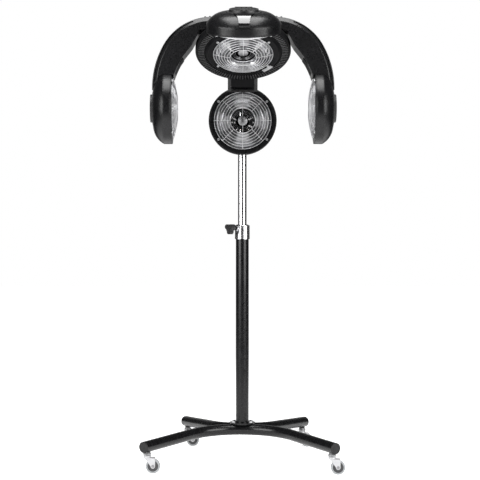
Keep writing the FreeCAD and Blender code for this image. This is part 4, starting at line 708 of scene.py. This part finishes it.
# ---------------------------------------------------------------- lamps
@dataclass
class Lamp:
    """A round lamp's own detail: spun bowl, boss cap, grille wires and screw recesses."""

    name: str
    body: str
    screw_circle: float = 110.5 * MM
    screw_turn: float = 38.0
    screw_face: float = -3.45 * MM
    cross_size: tuple[float, float, float] = (4.2 * MM, 0.9 * MM, 0.2 * MM)
    cross_turns: tuple[float, ...] = (20, 110)
    hole: float = 44.0 * MM
    mouth: float = 100.3 * MM
    depth: float = 45.0 * MM
    steps: int = 4
    step_lanes: int = 8
    scallop: float = 1.6 * MM
    lift: float = 1.3 * MM
    throat: float = 45.9 * MM
    throat_front: float = 1.6 * MM
    throat_foot: float = 61.0 * MM
    throat_lanes: int = 12
    throat_flare: float = 2.4
    throat_rise: float = 0.8
    sheet: float = 0.5 * MM
    bowl_sides: int = 96
    bead: float = 45.2 * MM
    bead_wire: float = 1.0 * MM
    boss: float = 18.0 * MM
    boss_front: float = 5.0 * MM
    boss_fit: float = 0.97
    wire_rings: tuple[float, ...] = (26.5 * MM, 31.5 * MM, 36.5 * MM)
    wire: float = 0.5 * MM
    wire_front: float = 2.3 * MM
    finger_rings: tuple[float, ...] = (24.5 * MM, 28.5 * MM, 32.5 * MM, 36.5 * MM, 39.8 * MM)
    finger_wire: float = 0.9 * MM
    fingers: float = 71.5 * MM
    seat: Seat = field(init=False)

    def __post_init__(self) -> None:
        """Find the lamp's face from its fan's axis, which starts there."""
        self.seat = Seat.of_joint(f"{self.name}_fan_spin")

    def bowl_height(self, radius: float) -> float:
        """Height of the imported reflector's arc behind the lamp's face.

        Args:
            radius: distance from the lamp's axis.

        Returns:
            The height.
        """
        width = self.mouth - self.hole
        bend = (width * width + self.depth * self.depth) / (self.depth * 2)
        step = radius - self.hole
        return self.depth - bend + math.sqrt(bend * bend - step * step)

    def bowl_line(self) -> list[tuple[float, float]]:
        """Front line of the bowl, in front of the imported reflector.

        Returns:
            Points of (radius, height), along the throat and then out over the pressed rings.
        """
        rest = self.lift + self.scallop
        foot = self.bowl_height(self.throat_foot) - rest
        points = []
        for lane in range(self.throat_lanes + 1):
            share = lane / self.throat_lanes
            radius = self.throat + (self.throat_foot - self.throat) * share ** self.throat_flare
            height = self.throat_front + (foot - self.throat_front) * share ** self.throat_rise
            points.append((radius, height))
        lanes = self.steps * self.step_lanes
        for lane in range(1, lanes + 1):
            share = lane / lanes
            radius = self.throat_foot + (self.mouth - self.throat_foot) * share
            press = abs(math.sin(math.pi * self.steps * share)) * self.scallop
            points.append((radius, self.bowl_height(radius) - rest + press))
        return points

    def bowl(self) -> None:
        """Bright bowl, spun and pressed in rings round a throat, with a bead at the throat's edge."""
        shape = Shape(f"{self.name}_bowl")
        front = self.bowl_line()
        back = [(radius, height + self.sheet) for radius, height in reversed(front)]
        shape.turned([*front, *back, front[0]], Matrix(), self.bowl_sides)
        shape.ring(self.bead, self.bead_wire, spin(0, 0, self.throat_front), 72, 8)
        shape.made(self.body, Paint.MIRROR, "lamp_mirror", place=self.seat.matrix())

    def cap(self) -> None:
        """Cast boss cap in the middle of the duct's grille."""
        shape = Shape(f"{self.name}_boss_cap")
        front = self.boss_front
        edge = self.boss * self.boss_fit
        shape.turned([
            (0.0, front - 4.2 * MM), (edge * 0.45, front - 4.0 * MM), (edge * 0.62, front - 2.9 * MM),
            (edge * 0.86, front - 2.6 * MM), (edge, front - 1.4 * MM), (edge, front + 0.2 * MM),
            (0.0, front + 0.2 * MM),
        ], self.seat.matrix(), 48)
        shape.made(self.body, Paint.CAST, "lamp_mirror", bevel=0.4 * MM)

    def grille(self) -> None:
        """Fine wire rings on the duct's grille, and finger rings behind the vent's slots."""
        place = self.seat.matrix()
        front = Shape(f"{self.name}_grille_wires")
        for radius in self.wire_rings:
            front.ring(radius, self.wire, place @ spin(0, 0, self.wire_front), 56, 6)
        front.made(self.body, Paint.CAST, "lamp_mirror")
        if self.fingers > 0:
            back = Shape(f"{self.name}_finger_rings")
            for radius in self.finger_rings:
                back.ring(radius, self.finger_wire, place @ spin(0, 0, self.fingers), 56, 6)
            back.made(self.body, Paint.VENT, "matte_black")

    def crosses(self) -> None:
        """Cross recesses in the four guard screws, drawn as thin black crosses: painted shade, not cut
        recesses.
        """
        shape = Shape(f"{self.name}_screw_recess_shade")
        place = self.seat.matrix()
        for turn in (self.screw_turn, 180 - self.screw_turn, self.screw_turn + 180, -self.screw_turn):
            head = place @ spin(turn, self.screw_circle, self.screw_face)
            for half in self.cross_turns:
                shape.block(self.cross_size, head @ spin(half))
        # The black crosses are painted shade standing for the recesses.
        shape.made(self.body, Paint.KNOB, "matte_black")

    def build(self) -> None:
        """Dress the lamp and add its detail."""
        self.cap()
        self.grille()
        self.crosses()
        dress(Paint.VENT, f"{self.name}_fan")
        log.info("lamp %s done", self.name)


def reflector_piece(node: str, lamps: Sequence[Lamp]) -> None:
    """Lay spun bowls in a packed plain reflector.

    Args:
        node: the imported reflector's name.
        lamps: the lamps whose bowls it holds.
    """
    for lamp in lamps:
        lamp.bowl()
    dress(Paint.FLANGE, node)


@dataclass
class Pod(Lamp):
    """A lamp in its own round housing."""

    own_nodes: bool = True

    def build(self) -> None:
        """Dress the pod and add its detail."""
        super().build()
        dress(Paint.SHELL, f"{self.name}_pod_housing")
        dress(Paint.VENT, f"{self.name}_vent_cover")
        if self.own_nodes:
            reflector_piece(f"{self.name}_reflector", [self])
            dress(Paint.WIRE, f"{self.name}_guard")
            dress(Paint.HEATER, f"{self.name}_heater")


# ---------------------------------------------------------------- hub
@dataclass
class Hub:
    """The middle of the head: crown, ribbed underside, its lamp and a blank plate."""

    rib_count: int = 96
    rib_inner: float = 135.0 * MM
    rib_outer: float = 156.0 * MM
    rib_base: float = 7.0 * MM
    rib_height: float = 3.4 * MM
    rib_width: float = 3.2 * MM
    nose_y: float = -0.459
    plate_turn: float = 45.0
    plate_half_turn: float = 9.8
    plate_face: float = -0.6 * MM
    plate_sheet: float = 0.5 * MM
    plate_inner: float = 115.5 * MM
    plate_outer: float = 129.0 * MM
    lamp: Lamp = field(default_factory=lambda: Lamp("hub", "head", fingers=0.0))

    def ribs(self) -> None:
        """Radial ribs of the louvred ring round the hub lamp."""
        shape = Shape("hub_louvre_ribs")
        place = self.lamp.seat.matrix()
        middle = (self.rib_inner + self.rib_outer) / 2
        length = self.rib_outer - self.rib_inner
        for number in range(self.rib_count):
            here = place @ spin(360 / self.rib_count * number, middle, self.rib_base - self.rib_height / 2)
            end = here @ Vector((length / 2, 0, 0))
            if end.y > self.nose_y:
                shape.block((length, self.rib_width, self.rib_height), here)
        # The ribs' lighter black is a painted highlight.
        shape.made("head", Paint.LOUVRE_PAINTED_HIGHLIGHT, "gloss_black", bevel=0.5 * MM)

    def plate(self) -> None:
        """Small blank metal plate at the outer edge of the lamp's face ring."""
        shape = Shape("hub_blank_plate")
        profile = [(self.plate_inner, self.plate_face), (self.plate_outer, self.plate_face)]
        start = self.plate_turn - self.plate_half_turn
        end = self.plate_turn + self.plate_half_turn
        shape.sector(profile, start, end, self.plate_sheet, self.lamp.seat.matrix())
        shape.made("head", Paint.PLATE, "zinc_plate")

    def build(self) -> None:
        """Dress the hub and add its detail."""
        self.lamp.build()
        self.ribs()
        self.plate()
        dress(Paint.ARM, "hub_cover", "tilt_lug")
        dress(Paint.UNDER, "hub_underside")
        reflector_piece("head_reflectors", [self.lamp, Lamp("rear", "head")])
        dress(Paint.WIRE, "head_guards")
        dress(Paint.HEATER, "head_heaters")
        dress(Paint.ZINC, "hinge_pins")


@dataclass
class Arms:
    """The three arms that carry the side and rear pods."""

    hands: tuple[str, ...] = ("left", "right", "rear")

    def build(self) -> None:
        """Dress the arms."""
        for hand in self.hands:
            dress(Paint.ARM, f"{hand}_arm_shell")
            dress(Paint.UNDER, f"{hand}_arm_cover")


@dataclass
class FrontPod(Pod):
    """The front pod with its link and glossy grip."""

    name: str = "front"
    body: str = "front_pod"

    def build(self) -> None:
        """Dress the front pod."""
        super().build()
        dress(Paint.ARM, "front_pod_link")
        dress(Paint.PIANO, "front_grip")


# ---------------------------------------------------------------- stand
@dataclass
class Stand:
    """Cross base, pole, collar, clamp knob and sliding mast."""

    def build(self) -> None:
        """Dress the stand."""
        dress(Paint.ENAMEL, "base_frame", "pole_tube")
        dress(Paint.CAP, "leg_end_caps", "collar_bush")
        dress(Paint.ZINC, "base_bolts")
        dress(Paint.COLLAR, "pole_collar")
        dress(Paint.CHROME, "mast_tube")
        dress(Paint.KNOB, "clamp_knob")


@dataclass(frozen=True)
class Disc:
    """A washer or nut on the caster's axle, and how far from the wheel's middle it sits."""

    reach: float
    radius: float
    thick: float
    sides: int


@dataclass
class Caster:
    """One swivel caster."""

    corner: str
    bands: tuple[tuple[float, float], ...] = ((22.0 * MM, 14.4 * MM), (18.4 * MM, 14.0 * MM),
                                              (15.0 * MM, 10.5 * MM))
    band_wire: float = 0.9 * MM
    washer: Disc = Disc(15.0 * MM, 5.6 * MM, 0.7 * MM, 24)
    nut: Disc = Disc(16.2 * MM, 4.4 * MM, 2.2 * MM, 6)
    rim_line: tuple[tuple[float, float], ...] = (
        (8.0 * MM, 6.0 * MM), (8.0 * MM, 10.6 * MM), (12.5 * MM, 9.4 * MM), (16.5 * MM, 9.9 * MM),
        (18.6 * MM, 10.5 * MM), (18.6 * MM, 6.0 * MM), (8.0 * MM, 6.0 * MM),
    )

    def raceway(self) -> None:
        """Pressed bands round the swivel housing, each a drop from the stem's top and a radius."""
        pivot = Seat.of_joint(f"{self.corner}_caster_swivel").origin
        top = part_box(f"caster_fork_{self.corner}")[1].z
        shape = Shape(f"caster_{self.corner}_raceway")
        for drop, radius in self.bands:
            shape.ring(radius, self.band_wire, Matrix.Translation((pivot.x, pivot.y, top - drop)), 40, 8)
        shape.made(f"caster_{self.corner}", Paint.ZINC, "zinc_plate")

    def nuts(self) -> None:
        """Washers and hexagon nuts on both ends of the axle."""
        shape = Shape(f"caster_{self.corner}_axle_nuts")
        place = Seat.of_joint(f"{self.corner}_wheel_roll").matrix()
        for side in (-1, 1):
            for disc in (self.washer, self.nut):
                low = side * disc.reach - disc.thick / 2
                high = low + disc.thick
                outline = [(0.0, low), (disc.radius, low), (disc.radius, high), (0.0, high)]
                shape.turned(outline, place, disc.sides)
        shape.made(f"caster_{self.corner}", Paint.CAST, "zinc_plate", bevel=0.25 * MM)

    def rims(self) -> None:
        """Moulded grey rims with a shallow groove on both sides of the wheel."""
        shape = Shape(f"wheel_{self.corner}_rims")
        place = Seat.of_joint(f"{self.corner}_wheel_roll").matrix()
        for side in (-1, 1):
            shape.turned([(radius, side * reach) for radius, reach in self.rim_line], place, 48)
        shape.made(f"wheel_{self.corner}", Paint.RIM, "wheel_tread", bevel=0.2 * MM)

    def build(self) -> None:
        """Dress the caster and add its detail."""
        dress(Paint.ZINC, f"caster_fork_{self.corner}")
        dress(Paint.TREAD, f"caster_wheel_{self.corner}")
        self.raceway()
        self.nuts()
        self.rims()


@dataclass
class Controls:
    """Yoke, control box, panel, knobs and inlet behind the head."""

    face: float = 82.0 * MM
    print_height: float = 0.06 * MM
    ticks: int = 13
    ticks_per_figure: int = 3
    tick_circle: float = 18.6 * MM
    tick_long: float = 2.6 * MM
    tick_short: float = 1.6 * MM
    tick_width: float = 0.55 * MM
    tick_sheet: float = 0.16 * MM
    sweep: float = 300.0
    minutes: tuple[int, ...] = (0, 15, 30, 45, 60)
    figure_circle: float = 24.2 * MM
    figure_size: float = 4.6 * MM
    figure_ink: float = 0.05 * MM
    mark_rise: float = 17.0 * MM
    mark_size: float = 5.0 * MM
    screw_inset: float = 5.0 * MM
    screw_line: tuple[tuple[float, float], ...] = (
        (0.0, -0.5 * MM), (3.0 * MM, -0.5 * MM), (3.0 * MM, 0.5 * MM), (2.0 * MM, 1.4 * MM), (0.0, 1.7 * MM),
    )
    cross_size: tuple[float, float, float] = (2.8 * MM, 0.6 * MM, 0.4 * MM)
    cross_face: float = 1.62 * MM
    cross_turns: tuple[float, ...] = (20, 110)

    def place(self, name: str) -> Matrix:
        """Frame on the panel's face at a control, X to the reader's right and Z out of the panel.

        Args:
            name: the control's joint.

        Returns:
            The frame.
        """
        x, _, z = joint(name)["pos_m"]
        turn = Matrix.Rotation(math.pi, 4, "Z") @ Matrix.Rotation(math.pi / 2, 4, "X")
        return Matrix.Translation((x, self.face, z)) @ turn

    def letters(self, name: str, text: str, size: float, place: Matrix) -> None:
        """Print plain figures on the panel.

        Args:
            name: name of the print.
            text: the figures.
            size: their height.
            place: their frame, with their middle at its origin.
        """
        data = bpy.data.curves.new(name, "FONT")
        data.body = text
        data.size = size
        data.extrude = self.figure_ink
        data.align_x = "CENTER"
        data.align_y = "CENTER"
        data.materials.append(Paint.PRINT.material())
        thing = bpy.data.objects.new(name, data)
        bpy.context.scene.collection.objects.link(thing)
        thing.matrix_world = place
        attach(thing, "yoke")

    def dial_turn(self, share: float) -> float:
        """Angle in degrees of a share of the dial's sweep, clockwise from its lower left."""
        return -90 - (360 - self.sweep) / 2 - self.sweep * share

    def print_dial(self) -> None:
        """Print the timer's tick marks and minutes."""
        shape = Shape("timer_ticks")
        here = self.place("timer_turn")
        for number in range(self.ticks):
            turn = self.dial_turn(number / (self.ticks - 1))
            length = self.tick_long if number % self.ticks_per_figure == 0 else self.tick_short
            middle = spin(turn, self.tick_circle + length / 2, self.print_height)
            shape.block((length, self.tick_width, self.tick_sheet), here @ middle)
        shape.made("yoke", Paint.PRINT, "panel_grey")
        for number, minute in enumerate(self.minutes):
            turn = math.radians(self.dial_turn(number / (len(self.minutes) - 1)))
            across = math.cos(turn) * self.figure_circle
            up = math.sin(turn) * self.figure_circle
            shift = Matrix.Translation((across, up, self.print_height))
            self.letters(f"timer_figure_{minute}", str(minute), self.figure_size, here @ shift)

    def print_switch(self) -> None:
        """Print the on and off marks above and below the rocker."""
        here = self.place("rocker_press")
        for name, text, rise in (("on", "I", self.mark_rise), ("off", "O", -self.mark_rise)):
            shift = Matrix.Translation((0, rise, self.print_height))
            self.letters(f"switch_mark_{name}", text, self.mark_size, here @ shift)

    def screws(self) -> None:
        """Four pan head screws at the panel's corners, with their cross recesses drawn as thin black crosses
        of painted shade.
        """
        heads = Shape("panel_screws")
        slots = Shape("panel_screw_recess_shade")
        low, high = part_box("control_panel")
        outward = Matrix.Rotation(-math.pi / 2, 4, "X")
        for x in (low.x + self.screw_inset, high.x - self.screw_inset):
            for z in (low.z + self.screw_inset, high.z - self.screw_inset):
                here = Matrix.Translation((x, self.face, z)) @ outward
                heads.turned(self.screw_line, here, 24)
                for half in self.cross_turns:
                    slots.block(self.cross_size, here @ spin(half, 0, self.cross_face))
        heads.made("yoke", Paint.ZINC, "zinc_plate")
        # The black crosses are painted shade standing for the recesses.
        slots.made("yoke", Paint.KNOB, "matte_black")

    def build(self) -> None:
        """Dress the controls and add their print and screws."""
        self.print_dial()
        self.print_switch()
        self.screws()
        dress(Paint.ENAMEL, "yoke")
        dress(Paint.SHELL, "control_box")
        dress(Paint.PANEL, "control_panel")
        dress(Paint.KNOB, "timer_knob", "tilt_knob", "rocker_switch")
        dress(Paint.VENT, "mains_inlet")


# ---------------------------------------------------------------- studio
@dataclass(frozen=True)
class Softbox:
    """A rectangular studio lamp that looks at a point."""

    name: str
    place: Point
    target: Point
    size: Point
    watts: float

    def build(self) -> None:
        """Hang the lamp."""
        data = bpy.data.lights.new(self.name, "AREA")
        data.shape = "RECTANGLE"
        data.size, data.size_y = self.size
        data.energy = self.watts
        lamp = bpy.data.objects.new(self.name, data)
        lamp.location = self.place
        aim = Vector(self.target) - Vector(self.place)
        lamp.rotation_euler = aim.to_track_quat("-Z", "Y").to_euler()
        bpy.context.scene.collection.objects.link(lamp)


class Sky:
    """The world's node tree, with short ways to map and blend values."""

    def __init__(self) -> None:
        """Give the scene a new world."""
        self.world = bpy.data.worlds.new("studio")
        bpy.context.scene.world = self.world
        self.world.use_nodes = True
        self.tree = self.world.node_tree

    def ranged(self, source: bpy.types.NodeSocket, values: Sequence[float]) -> bpy.types.NodeSocket:
        """Map a value's range smoothly to another range.

        Args:
            source: the value.
            values: start and end of its range, then what they become.

        Returns:
            The mapped value.
        """
        node = self.tree.nodes.new("ShaderNodeMapRange")
        node.interpolation_type = "SMOOTHSTEP"
        for key, value in zip(("From Min", "From Max", "To Min", "To Max"), values):
            node.inputs[key].default_value = value
        self.tree.links.new(source, node.inputs["Value"])
        return node.outputs["Result"]

    def blended(self, share: bpy.types.NodeSocket, low: bpy.types.NodeSocket | float,
                high: bpy.types.NodeSocket | float) -> bpy.types.NodeSocket:
        """Blend two values.

        Args:
            share: how much of the second value shows.
            low: the first value.
            high: the second value.

        Returns:
            The blend.
        """
        node = self.tree.nodes.new("ShaderNodeMix")
        self.tree.links.new(share, node.inputs["Factor"])
        for socket, value in (("A", low), ("B", high)):
            if isinstance(value, bpy.types.NodeSocket):
                self.tree.links.new(value, node.inputs[socket])
            else:
                node.inputs[socket].default_value = value
        return node.outputs["Result"]


@dataclass
class Studio:
    """White floor and surroundings, soft lamps and the camera."""

    camera_place: Point = (-0.04, -4.836, 0.796)
    focal_pixels: float = 1300.0
    image_side: int = 480
    centre_column: float = 231.55
    horizon_row: float = 245.0
    floor_side: float = 40.0
    floor_glow: float = 0.62
    floor_near: float = 0.9
    floor_far: float = 2.2
    floor_mirrored: float = 0.5
    sweep_start: float = 2.0
    sweep_end: float = 4.5
    backdrop_start: float = 0.8
    backdrop_end: float = 0.97
    backdrop_level: float = 0.5
    dark_level: float = 0.05
    fill_level: float = 0.32
    paper_near: Colour = (0.82, 0.82, 0.82)
    paper_far: Colour = (0.05, 0.05, 0.05)
    sensor_width: float = 36.0
    lamps: tuple[Softbox, ...] = (
        Softbox("top_softbox", (0.0, -0.8, 3.2), (0, -0.45, 1.4), (1.9, 1.7), 74.0),
        Softbox("left_softbox", (-2.2, -2.1, 1.5), (0, -0.2, 1.2), (2.0, 1.9), 78.0),
        Softbox("right_softbox", (2.2, -2.1, 1.5), (0, -0.2, 1.2), (2.0, 1.9), 78.0),
    )

    def camera(self) -> None:
        """Set the camera level, with the frame's small shift."""
        data = bpy.data.cameras.new("camera")
        data.sensor_width = self.sensor_width
        data.lens = self.focal_pixels / self.image_side * data.sensor_width
        half = self.image_side / 2
        data.shift_x = -(self.centre_column - half) / self.image_side
        data.shift_y = (self.horizon_row - half) / self.image_side
        camera = bpy.data.objects.new("camera", data)
        camera.location = self.camera_place
        camera.rotation_euler = (math.radians(90), 0, 0)
        bpy.context.scene.collection.objects.link(camera)
        bpy.context.scene.camera = camera

    def surroundings(self) -> None:
        """White to the eye, pale behind and dark elsewhere in reflections, plain grey as light."""
        sky = Sky()
        tree = sky.tree
        rays = tree.nodes.new("ShaderNodeLightPath")
        way = tree.nodes.new("ShaderNodeTexCoord")
        parts = tree.nodes.new("ShaderNodeSeparateXYZ")
        tree.links.new(way.outputs["Generated"], parts.inputs["Vector"])
        sharp = tree.nodes.new("ShaderNodeMath")
        sharp.operation = "MAXIMUM"
        tree.links.new(rays.outputs["Is Glossy Ray"], sharp.inputs[0])
        tree.links.new(rays.outputs["Is Transmission Ray"], sharp.inputs[1])
        behind = sky.ranged(parts.outputs["Y"], (self.backdrop_start, self.backdrop_end, self.dark_level,
                                                 self.backdrop_level))
        unseen = sky.blended(sharp.outputs["Value"], self.fill_level, behind)
        strength = sky.blended(rays.outputs["Is Camera Ray"], unseen, 1.0)
        ground = tree.nodes["Background"]
        ground.inputs["Color"].default_value = (1, 1, 1, 1)
        tree.links.new(strength, ground.inputs["Strength"])

    def floor(self) -> None:
        """A white floor that keeps the stand's soft shadow and fades into the white behind."""
        data = bpy.data.meshes.new("floor")
        half = self.floor_side / 2
        corners = [(-half, -half, 0), (half, -half, 0), (half, half, 0), (-half, half, 0)]
        data.from_pydata(corners, [], [(0, 1, 2, 3)])
        floor = bpy.data.objects.new("floor", data)
        bpy.context.scene.collection.objects.link(floor)
        graph = Graph("floor_white")
        rays = graph.add("ShaderNodeLightPath")
        reach = graph.add("ShaderNodeVectorMath", operation="LENGTH")
        graph.join(graph.place, reach.inputs[0])
        seen_glow = graph.span(reach.outputs["Value"], self.floor_glow, 1.0, self.floor_near, self.floor_far)
        edge = graph.span(reach.outputs["Value"], 1.0, 0.0, self.sweep_start, self.sweep_end)
        sharp = graph.math("MAXIMUM", rays.outputs["Is Glossy Ray"], rays.outputs["Is Transmission Ray"])
        mirrored = graph.math("MULTIPLY", graph.math("MULTIPLY", sharp, self.floor_mirrored), edge)
        seen = graph.math("MULTIPLY", rays.outputs["Is Camera Ray"], seen_glow)
        glow = graph.add("ShaderNodeEmission")
        graph.join(graph.math("ADD", seen, mirrored), glow.inputs["Strength"])
        paper = graph.tint(edge, self.paper_far, self.paper_near, 0.0, 1.0)
        graph.join(paper, graph.surface.inputs["Base Color"])
        graph.set(Roughness=0.9, Specular_IOR_Level=0.0)
        both = graph.add("ShaderNodeAddShader")
        graph.join(graph.surface.outputs["BSDF"], both.inputs[0])
        graph.join(glow.outputs["Emission"], both.inputs[1])
        graph.join(both.outputs["Shader"], graph.tree.nodes["Material Output"].inputs["Surface"])
        data.materials.append(graph.material)

    def build(self) -> None:
        """Set up the whole studio."""
        self.camera()
        self.surroundings()
        self.floor()
        for lamp in self.lamps:
            lamp.build()
        bpy.context.scene.view_settings.view_transform = "Standard"


class Assembly(Protocol):
    """What main() builds."""

    def build(self) -> None:
        """Make or dress the assembly."""


def main() -> None:
    """Build the processor piece by piece, then the studio round it."""
    assemblies: list[Assembly] = [
        Stand(), Controls(), Hub(), Arms(), FrontPod(),
        Pod("left", "left_arm"), Pod("right", "right_arm"), Pod("rear", "head", own_nodes=False),
        *[Caster(corner) for corner in ("front_left", "front_right", "rear_left", "rear_right")],
        Studio(),
    ]
    for assembly in assemblies:
        assembly.build()
        log.info("%s built", type(assembly).__name__)


if __name__ == "__main__":
    logging.basicConfig(level=logging.INFO, format="%(message)s")
    main()
